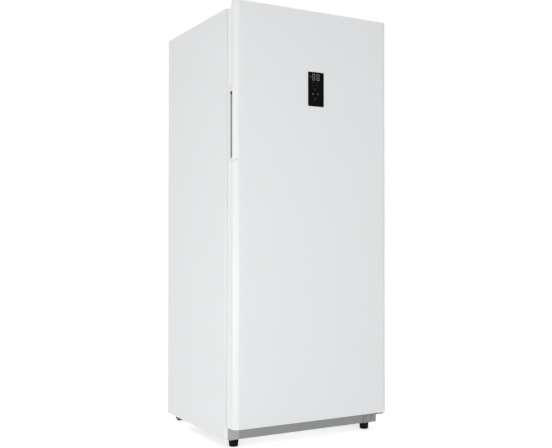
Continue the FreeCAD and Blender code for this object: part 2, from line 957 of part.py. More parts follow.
def door_side_strips():
    """The plastic edge behind each side of the skin, turned in to carry the gasket."""
    strips = []
    for side, out in (("left", -1), ("right", 1)):
        outline = [
            (half * out, front + d.skin_depth),
            (half * out, door_rear),
            ((half - d.strip_return) * out, door_rear),
            ((half - d.strip_return) * out, door_rear - d.strip_wall),
            ((half - d.strip_wall) * out, door_rear - d.strip_wall),
            ((half - d.strip_wall) * out, front + d.skin_depth),
        ]
        strips.append(prism(f"strip_{side}", "XY_Plane", outline, foam_low, foam_high))
    cleared = less("strip_left_open", strips[0], handle_space("strip_handle", d.display_seam))
    return part(batch("strips", cleared, strips[1]), "door_side_strips")


def door_foam():
    inset = d.strip_wall
    foam = rounded("door_foam_block", (inset - half, half - inset),
                   (front + d.skin_gauge, door_rear - d.strip_wall), (foam_low, foam_high), d.door_corner)
    tray = display_box("foam_display", d.housing_inset, (front, front + d.display_glass_thick
                                                         + d.housing_depth))
    glass = display_box("foam_glass", -d.display_seam, (front, front + d.display_glass_thick))
    handle = handle_space("foam_handle", d.display_seam)
    return part(less("door_filling", foam, handle, tray, glass), "door_foam")


def door_liner():
    """The moulded back of the door, with the raised dyke round the bins and the lugs that hold them."""
    plate = block("liner_plate", (d.strip_return - half, half - d.strip_return),
                  (door_rear - d.strip_wall, door_rear), (foam_low, foam_high))
    wide = half - d.dyke_side
    low = door_low + d.dyke_low
    high = shoulder - d.dyke_high
    depth = (door_rear, door_rear + d.dyke_depth)
    ring = block("dyke_outside", (-wide, wide), depth, (low, high))
    hollow = block("dyke_inside", (d.dyke_thick - wide, wide - d.dyke_thick), depth,
                   (low + d.dyke_thick, high - d.dyke_thick))
    pieces = [plate, less("dyke", ring, hollow)]
    for number, level in enumerate(bin_levels(), 1):
        lug_top = level + d.bin_height - d.ear_drop - d.touch_gap
        for side, x in both_sides(bin_half + d.lug_gap, wide - d.dyke_thick):
            pieces.append(block(f"lug_{side}_{number}", x,
                                (door_rear + d.lug_start, door_rear + d.lug_start + d.lug_length),
                                (lug_top - d.lug_height, lug_top)))
    return part(joined("door_inner", *pieces), "door_liner")


bin_half = half - d.dyke_side - d.dyke_thick - d.bin_side_gap


def bin_levels():
    """The underside of each of the four bins, evenly spaced from the first to the last."""
    lowest = base + d.bin_first
    pitch = (shoulder - d.bin_last - lowest) / 3
    return [lowest + pitch * i for i in range(4)]


def door_bin(number, level):
    """An open bin for the door, hung by an ear at each side on the liner's lugs."""
    wide = bin_half
    y = (door_rear + d.bin_rear_gap, door_rear + d.bin_rear_gap + d.bin_depth)
    wall = d.bin_wall
    outside = block(f"bin_{number}_outside", (-wide, wide), y, (level, level + d.bin_height))
    inside = block(f"bin_{number}_inside", (wall - wide, wide - wall), (y[0] + wall, y[1] - wall),
                   (level + wall, level + d.bin_height))
    ear_low = level + d.bin_height - d.ear_drop
    ears = [
        block(f"bin_{number}_ear_{side}", x,
              (door_rear + d.lug_start, door_rear + d.lug_start + d.lug_length),
              (ear_low, ear_low + d.ear_thick))
        for side, x in both_sides(wide, wide + d.ear_reach)
    ]
    tub = less(f"bin_{number}", outside, inside)
    return part(joined(f"bin_{number}_whole", tub, *ears), f"door_bin_{number}")


def frame_ring(name, inset, y, thick):
    """A flat rectangular ring across the door, all along its edge. On the hinged side it lies further
    in, so that it swings clear of the cabinet."""
    x = (d.gasket_free_inset + inset - half, half - d.gasket_inset - inset)
    z = (door_low + d.gasket_end_inset + inset, shoulder - d.gasket_end_inset - inset)
    outer = block(f"{name}_outer", x, y, z)
    inner = block(f"{name}_inner", (x[0] + thick, x[1] - thick), y, (z[0] + thick, z[1] - thick))
    return less(name, outer, inner)


def door_gasket():
    """The soft seal between door and cabinet; its magnet lies in a closed channel near the cabinet."""
    ring = frame_ring("seal", ZERO, (door_rear, face - d.touch_gap), d.gasket_width)
    return part(less("seal_hollow", ring, magnet_ring("seal_channel")), "door_gasket")


def magnet_ring(name):
    side_wall = (d.gasket_width - d.magnet_width) / 2
    rear_plane = face - d.touch_gap - d.magnet_cover
    return frame_ring(name, side_wall, (rear_plane - d.magnet_thick, rear_plane), d.magnet_width)


def gasket_magnet():
    return part(magnet_ring("magnet"), "gasket_magnet")


def handle_insert():
    """The moulding with the finger slot; the pocket behind the slot runs forward, behind the skin."""
    envelope = rounded("door_envelope", whole_width, (front, door_rear), (foam_low, foam_high),
                       d.door_corner)
    moulding = shared("handle_body", envelope, handle_space("handle_outline", ZERO))
    low = handle_z - d.slot_height / 2
    high = handle_z + d.slot_height / 2
    slot_near = front + d.slot_front
    slot_far = slot_near + d.slot_width
    outline = [
        (slot_near, low),
        (slot_far, low),
        (slot_far, high - d.slot_slant),
        (slot_near, high),
    ]
    mouth = prism("handle_mouth", "YZ_Plane", outline, -half - d.overshoot, d.slot_mouth - half)
    pocket = block("handle_pocket", (d.slot_mouth - half - d.overshoot, d.handle_depth - half
                                     - d.pocket_wall),
                   (front + d.pocket_front, slot_far), (low, high))
    return part(less("handle", moulding, mouth, pocket), "handle_insert")


def display():
    """The touch display: a dark glass in the skin, its tray in the foam, and a board with lamp digits."""
    glass_back = front + d.display_glass_thick
    part(display_box("glass", ZERO, (front, glass_back)), "display_glass")
    tray_back = glass_back + d.housing_depth
    outside = display_box("tray_outside", d.housing_inset, (glass_back, tray_back))
    inside = display_box("tray_inside", d.housing_inset + d.housing_wall,
                         (glass_back, tray_back - d.housing_wall))
    part(less("tray", outside, inside), "display_housing")
    board_face = glass_back + d.board_back
    board = display_box("board_plate", d.housing_inset + d.housing_wall,
                        (board_face, board_face + d.board_thick))
    middle = d.display_offset
    lamp_top = display_z + d.display_height / 2 - d.lamp_block_drop
    lamps = block("board_lamps", (middle - d.lamp_block_width / 2, middle + d.lamp_block_width / 2),
                  (glass_back, board_face), (lamp_top - d.lamp_block_height, lamp_top))
    part(joined("board", board, lamps), "display_board")


# ---- hinges ----------------------------------------------------------------------------------------


def bush(name, shaft_low, shaft_high, flange_low, flange_high, bore_low, bore_high):
    place = (hinge_x, hinge_y)
    shaft = rod(f"{name}_shaft", "z", place, d.bush_radius, shaft_low, shaft_high)
    flange = rod(f"{name}_flange", "z", place, d.bush_flange_radius, flange_low, flange_high)
    bore = rod(f"{name}_bore", "z", place, d.pin_radius + d.running_gap, bore_low, bore_high)
    return less(name, joined(f"{name}_whole", shaft, flange), bore)


def hinge_bushes():
    """The two bushes that the door turns in; the lower one's thick flange carries the door."""
    upper = bush("upper_bush", shoulder - d.bush_length, shoulder, shoulder, shoulder + d.bush_flange,
                 shoulder - d.bush_length, shoulder + d.bush_flange)
    plate_top = door_low - d.door_rise
    lower = bush("lower_bush", door_low, door_low + d.bush_length, plate_top + d.touch_gap, door_low,
                 plate_top + d.touch_gap, door_low + d.bush_length)
    return part(batch("bushes", upper, lower), "hinge_bushes")


def screw(name, x, y, z, way):
    """A pan-head screw: its head on the plate at z, or at y when it points back, and its shank beyond."""
    if way == "z":
        shank = rod(f"{name}_shank", "z", (x, y), d.screw_radius, z - d.screw_length, z)
        head = rod(f"{name}_head", "z", (x, y), d.screw_head_radius, z, z + d.screw_head)
    else:
        shank = rod(f"{name}_shank", "y", (x, z), d.screw_radius, y, y + d.screw_length)
        head = rod(f"{name}_head", "y", (x, z), d.screw_head_radius, y - d.screw_head, y)
    return joined(name, shank, head)


def upper_screw_places():
    """The middles of the upper arm's two screws, behind the cabinet's front."""
    x = hinge_x - (d.arm_left + d.arm_right) / 2
    return [(x, face + d.screw_pitch * (i + 0.75)) for i in range(2)]


def lower_screw_places():
    """The middles of the lower bracket's two screws, in its upright flange."""
    x = hinge_x + (d.foot_plate_right - d.foot_plate_left) / 2
    z = (base + door_low - d.door_rise - d.bracket_gauge) / 2
    return [(x - d.screw_pitch / 2, z), (x + d.screw_pitch / 2, z)]


def top_hinge_bracket():
    """A cranked plate on the cabinet's top: a nose over the door's shoulder and an arm that stays clear
    of the door's lip when it swings round."""
    nose = d.bracket_nose
    outline = [
        (hinge_x - nose, hinge_y - nose),
        (hinge_x + nose, hinge_y - nose),
        (hinge_x + nose, hinge_y + nose / 2),
        (hinge_x - d.arm_right, hinge_y + nose * 2),
        (hinge_x - d.arm_right, hinge_y + d.arm_length),
        (hinge_x - d.arm_left, hinge_y + d.arm_length),
        (hinge_x - d.arm_left, hinge_y + nose * 2),
    ]
    plate = prism("arm", "XY_Plane", outline, top, top + d.bracket_gauge)
    holes = [
        rod(f"arm_hole_{i}", "z", (x, y), d.screw_radius, top, top + d.bracket_gauge)
        for i, (x, y) in enumerate(upper_screw_places())
    ]
    pin_hole = rod("arm_pin_hole", "z", (hinge_x, hinge_y), d.pin_radius, top, top + d.bracket_gauge)
    return part(less("arm_drilled", plate, pin_hole, *holes), "top_hinge_bracket")


def bottom_hinge_bracket():
    """An angle on the front rail: its flat plate carries the door, its flange is screwed to the rail."""
    plate_top = door_low - d.door_rise
    plate_low = plate_top - d.bracket_gauge
    x = (hinge_x - d.foot_plate_left, hinge_x + d.foot_plate_right)
    nose = d.bracket_nose
    flat = block("foot_plate", x, (hinge_y - nose, face), (plate_low, plate_top))
    flange = block("foot_flange", x, (face - d.bracket_gauge, face), (base, plate_low))
    holes = [
        rod(f"foot_hole_{i}", "y", (hx, hz), d.screw_radius, face - d.bracket_gauge, face)
        for i, (hx, hz) in enumerate(lower_screw_places())
    ]
    pin_hole = rod("foot_pin_hole", "z", (hinge_x, hinge_y), d.pin_radius, plate_low, plate_top)
    bracket = less("foot_bracket", joined("foot_angle", flat, flange), pin_hole, *holes)
    return part(bracket, "bottom_hinge_bracket")


def hinge_pins():
    plate_top = door_low - d.door_rise
    place = (hinge_x, hinge_y)
    upper = rod("upper_pin", "z", place, d.pin_radius, shoulder - d.pin_depth, top + d.bracket_gauge)
    lower = rod("lower_pin", "z", place, d.pin_radius, plate_top - d.bracket_gauge, door_low + d.pin_depth)
    return [upper, lower]


def hinge_screws():
    upper = [screw(f"upper_screw_{i}", x, y, top + d.bracket_gauge, "z")
             for i, (x, y) in enumerate(upper_screw_places())]
    lower = [screw(f"lower_screw_{i}", x, face - d.bracket_gauge, z, "y")
             for i, (x, z) in enumerate(lower_screw_places())]
    return upper + lower


def hinge_fasteners():
    return part(batch("fasteners", *hinge_pins(), *hinge_screws()), "hinge_pins_and_screws")


def upper_screw_spaces(name):
    """The shanks' spaces, for the sheet and the foam under the upper bracket."""
    return batch(name, *(rod(f"{name}_{i}", "z", place, d.screw_radius, top - d.screw_length, top)
                         for i, place in enumerate(upper_screw_places())))


def lower_screw_spaces(name):
    """The shanks' spaces, for the side's flange behind the lower bracket."""
    return batch(name, *(rod(f"{name}_{i}", "y", place, d.screw_radius, face, face + d.screw_length)
                         for i, place in enumerate(lower_screw_places())))


def top_hinge_cover():
    """The plastic cover over the part of the upper bracket that lies on the cabinet."""
    x = (hinge_x - d.arm_left - d.cover_margin, hinge_x + d.cover_margin)
    y = (face + d.cover_wall, hinge_y + d.arm_length + d.cover_margin)
    z = (top, top + d.cover_height)
    wall = d.cover_wall
    outside = rounded("hinge_cover_outside", x, y, z, d.cover_margin)
    inside = block("hinge_cover_inside", (x[0] + wall, x[1] - wall), (y[0] - d.overshoot, y[1] - wall),
                   (z[0], z[1] - wall))
    return part(less("hinge_cover", outside, inside), "top_hinge_cover")


# ---- shelves, drawers and light --------------------------------------------------------------------


def shelves():
    """Five glass shelves on the liner's ledges, each with a plastic trim along its front edge."""
    wide = inside_half - d.shelf_side_gap
    plates = []
    trims = []
    for number, level in enumerate(shelf_levels(), 1):
        y = (face + d.shelf_front, duct_front - d.shelf_rear_gap)
        plates.append(block(f"shelf_{number}", (-wide, wide), y, (level, level + d.shelf_glass)))
        trims.append(block(f"trim_{number}", (-wide, wide), (y[0] - d.trim_depth, y[0]),
                           (level - d.trim_below, level + d.shelf_glass + d.trim_above)))
    part(batch("glass_plates", *plates), "glass_shelves")
    part(batch("trims", *trims), "shelf_trims")


def drawer_places():
    """Each drawer's name with its front, back, bottom and top: both stop short of the shelf above."""
    yield ("lower", face + d.lower_drawer_front, inner_step_front - d.lower_drawer_back_gap,
           floor + d.drawer_lift, inner_step_top - d.drawer_top_gap)
    yield ("upper", face + d.upper_drawer_front, duct_front - d.upper_drawer_back_gap,
           inner_step_top + d.shelf_glass + d.drawer_lift, second_shelf - d.drawer_top_gap)


def drawer(name, y_front, y_rear, low, high):
    """A tub with a thicker face and grip in front and a flange along each side that rides on a runner."""
    wall = d.drawer_wall
    wide = inside_half - d.drawer_side_gap
    face_half = inside_half - d.drawer_face_gap
    tub = block(f"{name}_tub", (-wide, wide), (y_front + d.drawer_face, y_rear), (low, high))
    room = block(f"{name}_room", (wall - wide, wide - wall), (y_front + d.drawer_face, y_rear - wall),
                 (low + wall, high))
    plate = block(f"{name}_face", (-face_half, face_half), (y_front, y_front + d.drawer_face),
                  (low, high))
    grip = block(f"{name}_grip", (-d.grip_half_width, d.grip_half_width),
                 (y_front, y_front + d.grip_depth), (high - d.flange_drop - d.grip_height,
                                                     high - d.flange_drop))
    flange_low = high - d.flange_drop
    flanges = [
        block(f"{name}_flange_{side}", x, (y_front + d.drawer_face, y_rear),
              (flange_low, flange_low + d.flange_thick))
        for side, x in both_sides(wide, wide + d.drawer_flange)
    ]
    body = joined(f"{name}_whole", less(f"{name}_open", tub, room), less(f"{name}_faced", plate, grip),
                  *flanges)
    return part(body, f"{name}_drawer")


def drawer_runners():
    """The strips on the liner's sides that carry the drawers' flanges."""
    runners = []
    ends = {"lower": inner_step_front, "upper": duct_front}
    for name, y_front, _, _, high in drawer_places():
        level = high - d.flange_drop - d.touch_gap
        for side, x in both_sides(inside_half - d.runner_reach, inside_half):
            runners.append(block(f"runner_{name}_{side}", x, (y_front + d.drawer_face, ends[name]),
                                 (level - d.runner_height, level)))
    return part(batch("runners", *runners), "drawer_runners")


def ceiling_lamp():
    """A lamp under the ceiling: a clear cover, and the board with its lamps inside."""
    wide = d.lamp_half_width
    wall = d.lamp_wall
    y = (face + d.lamp_behind_face, face + d.lamp_behind_face + d.lamp_depth)
    outside = block("lamp_outside", (-wide, wide), y, (ceiling - d.lamp_height, ceiling))
    inside = block("lamp_inside", (wall - wide, wide - wall), (y[0] + wall, y[1] - wall),
                   (ceiling - d.lamp_height + wall, ceiling))
    part(less("lamp_shell", outside, inside), "lamp_cover")
    board = block("lamp_plate", (wall - wide, wide - wall), (y[0] + wall, y[1] - wall),
                  (ceiling - d.light_board, ceiling))
    part(board, "lamp_board")


# ---- cold air --------------------------------------------------------------------------------------


def duct_cover():
    """The panel in front of the evaporator and fan, with rows of slots where the air goes in and out."""
    wide = inside_half - d.duct_side_gap
    z = (inner_step_top, ceiling)
    outside = block("duct_outside", (-wide, wide), (duct_front, liner_rear), z)
    inside = block("duct_inside", (d.duct_wall - wide, wide - d.duct_wall),
                   (duct_front + d.duct_wall, liner_rear), z)
    slots = []
    for row in range(int(d.grille_rows.mm)):
        low = z[0] + d.grille_first + shelf_pitch * row
        for side, x in both_sides(d.grille_gap, inside_half - d.fin_side):
            slots.append(block(f"duct_slot_{row}_{side}", x, (duct_front, duct_front + d.duct_wall),
                               (low, low + d.grille_height)))
    return part(less("duct", outside, inside, batch("duct_slots", *slots)), "evaporator_cover")


coil_y = liner_rear - d.fin_depth / 2
fin_half = inside_half - d.fin_side
fin_low = inner_step_top + d.fin_low


def coil_level(row):
    return fin_low + d.coil_inset + (d.fin_height - 2 * d.coil_inset) / (d.coil_rows - 1) * row


def evaporator():
    """Thin fins on a tube that goes to and fro through them, standing against the liner's back."""
    fin = block("fin_plate", (-fin_half, d.fin_gauge - fin_half),
                (liner_rear - d.fin_depth, liner_rear), (fin_low, fin_low + d.fin_height))
    rows = int(d.coil_rows.mm)
    holes = [
        rod(f"fin_hole_{row}", "x", (coil_y, coil_level(row)), d.coil_radius + d.running_gap,
            -fin_half, d.fin_gauge - fin_half)
        for row in range(rows)
    ]
    first = less("first_fin", fin, batch("fin_holes", *holes))
    count = int(2 * fin_half.mm / d.fin_pitch.mm) + 1
    part(copies("fins", first, count, Vector(d.fin_pitch.mm, 0, 0)), "evaporator_fins")
    reach = fin_half + d.coil_overhang
    bend = (coil_level(1) - coil_level(0)) / 2
    route = [(-reach, coil_y, coil_level(0))]
    for row in range(rows):
        out = 1 if row % 2 == 0 else -1
        end = (reach + bend) * out if row < rows - 1 else reach * out
        route.append((end, coil_y, coil_level(row)))
        if row < rows - 1:
            route.append((end, coil_y, coil_level(row + 1)))
    part(serpentine("coil", route, d.coil_radius, bend), "evaporator_tube")


def serpentine(name, route, radius, bend):
    """A tube whose turns are half circles: each pair of right-angle corners is one U."""
    stops = [Vector(*(size.mm for size in point)) for point in route]
    r = bend.mm
    edges = []
    start = stops[0]
    for i in range(1, len(stops) - 1, 2):
        corner, turn = stops[i], stops[i + 1]
        way = (corner - start).normalize()
        up = (turn - corner).normalize()
        arc_start = corner - way * r
        arc_end = turn - way * r
        edges.append(Part.LineSegment(start, arc_start).toShape())
        edges.append(Part.Arc(arc_start, arc_start + up * r + way * r, arc_end).toShape())
        start = arc_end
    edges.append(Part.LineSegment(start, stops[-1]).toShape())
    ring = Part.Wire(Part.makeCircle(radius.mm, stops[0], stops[1] - stops[0]))
    feature = doc.addObject("Part::Feature", name)
    feature.Shape = Part.Wire(edges).makePipeShell([ring], True, False)
    return feature


def defrost_heater():
    """A rod under the fins, held off the liner's back by a clip at each end."""
    z = inner_step_top + d.heater_rise
    heater_half = fin_half - d.heater_inset
    bar = rod("heater_rod", "x", (coil_y, z), d.heater_radius, -heater_half, heater_half)
    clips = [
        block(f"heater_clip_{side}", x, (coil_y - d.heater_radius, liner_rear),
              (z - d.heater_radius, z + d.heater_radius))
        for side, x in both_sides(heater_half, heater_half + d.heater_clip)
    ]
    return part(joined("heater", bar, *clips), "defrost_heater")


fan_z = inner_step_top + d.fan_rise
motor_face = liner_rear - d.motor_depth
hub_rear = motor_face - d.motor_gap
hub_front = hub_rear - d.hub_depth


def fan_motor():
    can = rod("motor_can", "y", (ZERO, fan_z), d.motor_radius, motor_face, liner_rear)
    shaft = rod("motor_shaft", "y", (ZERO, fan_z), d.shaft_radius, motor_face - d.shaft_reach, motor_face)
    return part(joined("motor", can, shaft), "fan_motor")


def fan():
    """A hub with tilted blades on the motor's shaft."""
    hub = rod("hub", "y", (ZERO, fan_z), d.hub_radius, hub_front, hub_rear)
    middle = Vector(0, (hub_front.mm + hub_rear.mm) / 2, fan_z.mm)
    blades = []
    for i in range(int(d.fan_blades.mm)):
        blade = doc.addObject("Part::Box", f"blade_{i}")
        blade.setExpression("Length", (d.fan_radius - d.hub_radius / 2).text)
        blade.setExpression("Width", d.blade_thick.text)
        blade.setExpression("Height", d.hub_depth.text)
        turn = Rotation(Vector(0, 1, 0), 360 * i / d.fan_blades.mm)
        tilt = Rotation(Vector(1, 0, 0), 90 - d.blade_pitch.mm)
        middle_of_blade = Vector(d.hub_radius.mm / 2, -d.blade_thick.mm / 2, -d.hub_depth.mm / 2)
        lean = turn.multiply(tilt)
        blade.Placement = Placement(middle + lean.multVec(middle_of_blade), lean)
        blades.append(blade)
    bore = rod("hub_bore", "y", (ZERO, fan_z), d.shaft_radius + d.running_gap, hub_front, hub_rear)
    return part(less("impeller", joined("hub_and_blades", hub, *blades), bore), "evaporator_fan")


def fan_shroud():
    """The plate round the fan, on four posts from the liner's back."""
    wide = d.shroud_half
    y = (hub_front, hub_front + d.shroud_thick)
    plate = block("shroud_plate", (-wide, wide), y, (fan_z - wide, fan_z + wide))
    hole = rod("shroud_hole", "y", (ZERO, fan_z), d.fan_radius + d.shroud_clear, y[0], y[1])
    posts = [
        rod(f"post_{i}", "y", ((wide - 2 * d.post_radius) * sx, fan_z + (wide - 2 * d.post_radius) * sz),
            d.post_radius, y[1], liner_rear)
        for i, (sx, sz) in enumerate(((-1, -1), (1, -1), (-1, 1), (1, 1)))
    ]
    return part(joined("shroud", less("shroud_ring", plate, hole), *posts), "fan_shroud")


# ---- the machine room ------------------------------------------------------------------------------

plate_low = base + d.rail_gauge
plate_top = plate_low + d.plate_gauge
compressor_y = step_front + d.compressor_y
machine_roof = step_top - d.steel_gauge


def compressor_plate():
    """The steel plate across the back of the base that carries the compressor."""
    wide = sheet_half - d.rail_gauge
    return part(block("machine_plate", (-wide, wide), (step_front, rear - d.steel_gauge),
                      (plate_low, plate_top)), "compressor_plate")


def grommet_places():
    for sx in (-1, 1):
        for sy in (-1, 1):
            yield (compressor_x + (d.mount_half_x - d.grommet_inset) * sx,
                   compressor_y + (d.mount_half_y - d.grommet_inset) * sy)


def compressor():
    """A welded shell with a domed lid on a mounting plate, with two tube stubs at its left."""
    low = plate_top + d.compressor_low
    high = low + d.compressor_height
    can = turned("can", [(ZERO, low), (d.compressor_radius, low), (d.compressor_radius, high), (ZERO, high)],
                 (compressor_x, compressor_y, ZERO))
    can = rounded_rim(rounded_rim(can, high, d.compressor_dome), low, d.compressor_low)
    plate = block("mount_plate", (compressor_x - d.mount_half_x, compressor_x + d.mount_half_x),
                  (compressor_y - d.mount_half_y, compressor_y + d.mount_half_y), (low - d.mount_plate, low))
    stubs = [
        rod(f"stub_{i}", "x", (compressor_y + d.stub_offset * side, plate_top + rise), d.stub_radius,
            compressor_x - d.stub_reach, compressor_x)
        for i, (side, rise) in enumerate(((-1, d.discharge_rise), (1, d.suction_rise)))
    ]
    return part(joined("pump", can, plate, *stubs), "compressor")


def compressor_grommets():
    under = plate_top + d.compressor_low - d.mount_plate
    feet = [rod(f"grommet_{i}", "z", place, d.grommet_radius, plate_top, under)
            for i, place in enumerate(grommet_places())]
    return part(batch("grommets", *feet), "compressor_grommets")


def relay_cover():
    """The cover over the compressor's terminals, shaped to its shell."""
    x = compressor_x + d.compressor_radius
    low = plate_top + d.relay_rise
    box = block("relay_box", (compressor_x, x + d.relay_width),
                (compressor_y - d.relay_half_depth, compressor_y + d.relay_half_depth),
                (low, low + d.relay_height))
    shell = rod("relay_seat", "z", (compressor_x, compressor_y), d.compressor_radius, low,
                low + d.relay_height)
    return part(less("relay", box, shell), "compressor_relay_cover")


def refrigerant_tubes():
    """Discharge and suction lines, the line into the filter drier, and the thin line out of it."""
    start = compressor_x - d.stub_reach
    lines = []
    for name, side, rise, run in (
        ("discharge", -1, d.discharge_rise, d.discharge_run),
        ("suction", 1, d.suction_rise, d.suction_run),
    ):
        y = compressor_y + d.stub_offset * side
        z = plate_top + rise
        lines.append(tube(name, [(start, y, z), (start - run, y, z), (start - run, y, machine_roof)],
                          d.tube_radius, d.tube_bend))
    x = compressor_x + d.drier_offset
    y = step_front + d.drier_y
    low = plate_top + d.drier_low
    lines.append(rod("liquid", "z", (x, y), d.tube_radius, low + d.drier_length, machine_roof))
    under = low - d.capillary_drop
    aside = x + d.capillary_loop
    lines.append(tube("capillary", [(x, y, low), (x, y, under), (aside, y, under),
                                    (aside, y, machine_roof)], d.capillary_radius, d.tube_bend))
    return lines


def filter_drier():
    """A short copper canister with conical ends, in the line that leaves the condenser."""
    low = plate_top + d.drier_low
    r = d.drier_radius
    profile = [
        (ZERO, low),
        (r / 2, low),
        (r, low + r),
        (r, low + d.drier_length - r),
        (r / 2, low + d.drier_length),
        (ZERO, low + d.drier_length),
    ]
    return turned("drier", profile, (compressor_x + d.drier_offset, step_front + d.drier_y, ZERO))


def refrigerant_circuit():
    return part(batch("circuit", *refrigerant_tubes(), filter_drier()), "refrigerant_tubes_and_drier")


def drain_pan():
    """The open pan on the machine plate where the defrost water dries up."""
    x = pan_ends
    y = (step_front + d.pan_front, step_front + d.pan_front + d.pan_depth)
    z = (plate_top, plate_top + d.pan_height)
    wall = d.pan_wall
    outside = block("pan_outside", x, y, z)
    inside = block("pan_inside", (x[0] + wall, x[1] - wall), (y[0] + wall, y[1] - wall), (z[0] + wall, z[1]))
    return part(less("pan", outside, inside), "drain_pan")


def drain_tube():
    """The tube from the cold room's drain down to just over the pan."""
    place = (drain_x, step_front + d.drain_y)
    low = plate_top + d.pan_height + d.drain_clear
    pipe = rod("drain_pipe", "z", place, d.drain_radius, low, inner_step_top)
    bore = rod("drain_bore", "z", place, d.drain_bore, low, inner_step_top)
    return part(less("drain", pipe, bore), "drain_tube")


def condenser_coil():
    """Tubes against the inside of both steel sides, which give off the heat."""
    coils = []
    lane = d.steel_gauge + d.condenser_radius + d.touch_gap
    y_first = face + d.condenser_front + d.condenser_bend
    low = base + d.condenser_rise + d.condenser_bend
    high = top - d.condenser_drop - d.condenser_bend
    passes = int(d.condenser_passes.mm)
    for side, out in (("left", -1), ("right", 1)):
        x = (half - lane) * out
        route = [(x, y_first, low)]
        for i in range(passes):
            y = y_first + 2 * d.condenser_bend * i
            end = high if i % 2 == 0 else low
            route.append((x, y, end))
            if i < passes - 1:
                route.append((x, y + 2 * d.condenser_bend, end))
        coils.append(serpentine(f"condenser_{side}", route, d.condenser_radius, d.condenser_bend))
    return part(batch("condensers", *coils), "condenser_coils")


def control_box():
    """The box on the right side with the main control board, closed by its own lid."""
    x = (sheet_half - d.control_width, sheet_half)
    y = (step_front + d.control_front, step_front + d.control_front + d.control_depth)
    z = (plate_top + d.control_rise, plate_top + d.control_rise + d.control_height)
    wall = d.control_wall
    outside = block("control_outside", x, y, z)
    inside = block("control_inside", (x[0] + wall, x[1] - wall), (y[0] + wall, y[1] - wall),
                   (z[0] + wall, z[1] - wall))
    part(less("control", outside, inside), "control_box")
    board_x = x[0] + d.control_board_back
    board = block("control_plate", (board_x, board_x + d.board_thick), (y[0] + wall, y[1] - wall),
                  (z[0] + wall, z[1] - wall))
    part(board, "control_board")


def inlet_centre():
    return d.inlet_side + d.pan_left - half, pan_level + d.inlet_rise


def machine_cover():
    """The slotted cover over the back of the machine room."""
    wide = half - d.rear_flange
    sheet_metal = block("cover_sheet", (-wide, wide), (rear - d.steel_gauge, rear),
                        (base + d.cover_foot, step_top))
    slots = []
    for row in range(int(d.slot_rows.mm)):
        low = base + d.slot_row_first + d.slot_row_pitch * row
        for side, x in both_sides(d.vent_gap / 2, half - d.vent_side):
            slots.append(block(f"vent_{row}_{side}", x, (rear - d.steel_gauge, rear),
                               (low, low + d.vent_height)))
    hole = rod("cover_inlet_hole", "y", inlet_centre(), d.inlet_radius, rear - d.steel_gauge, rear)
    return part(less("vented_cover", sheet_metal, batch("vents", *slots), hole), "machine_cover")


def power_inlet():
    """The bushing in the cover where the mains lead goes in."""
    place = inlet_centre()
    stem = rod("inlet_stem", "y", place, d.inlet_radius, rear - d.steel_gauge, rear)
    flange_front = rear - d.steel_gauge - d.inlet_flange
    flange = rod("inlet_flange_disc", "y", place, d.inlet_flange_radius, flange_front, rear - d.steel_gauge)
    bore = rod("inlet_bore_hole", "y", place, d.inlet_bore, flange_front, rear)
    return part(less("inlet", joined("inlet_whole", stem, flange), bore), "power_inlet")


# ---- the whole freezer -----------------------------------------------------------------------------


def make_cabinet():
    side_panel("left", -1)
    side_panel("right", 1)
    top_panel()
    back_panel()
    base_step_panel()
    insulation()
    inner_liner()
    front_rail()
    base_frame()
    shelves()
    drawer_runners()
    ceiling_lamp()
    duct_cover()
    evaporator()
    defrost_heater()
    fan_motor()
    fan_shroud()
    top_hinge_bracket()
    bottom_hinge_bracket()
    hinge_fasteners()
    top_hinge_cover()


def make_machine_room():
    compressor_plate()
    compressor()
    compressor_grommets()
    relay_cover()
    refrigerant_circuit()
    drain_pan()
    drain_tube()
    condenser_coil()
    control_box()
    machine_cover()
    power_inlet()


def make_door():
    door_skin()
    door_top_cap()
    door_bottom_cap()
    door_side_strips()
    door_foam()
    door_liner()
    door_gasket()
    gasket_magnet()
    handle_insert()
    display()
    hinge_bushes()


def make_moving_pieces():
    for number, level in enumerate(bin_levels(), 1):
        door_bin(number, level)
    for place in drawer_places():
        drawer(*place)
    fan()
    for side, out in (("left", -1), ("right", 1)):
        levelling_foot(side, out)
        rear_roller(side, out)


def check_document():
    """Stop if any object failed or any piece is not a sound solid."""
    failed = [thing.Name for thing in doc.Objects if {"Invalid", "Error"} & set(thing.State)]
    if failed:
        raise RuntimeError(f"these objects failed: {failed}")
    for piece in PARTS:
        if piece.Shape.isNull() or not piece.Shape.isValid() or not piece.Shape.Solids:
            raise RuntimeError(f"{piece.Label} has no sound solid")


def write_pieces():
    os.makedirs("parts", exist_ok=True)
    for piece in PARTS:
        piece.Shape.exportStep(f"parts/{piece.Label}.step")


make_cabinet()
make_machine_room()
make_door()
make_moving_pieces()
doc.recompute()
check_document()
write_pieces()
print(len(PARTS), "pieces")
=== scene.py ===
import json
import math

import bmesh
import bpy
import numpy as np
from mathutils import Matrix, Vector


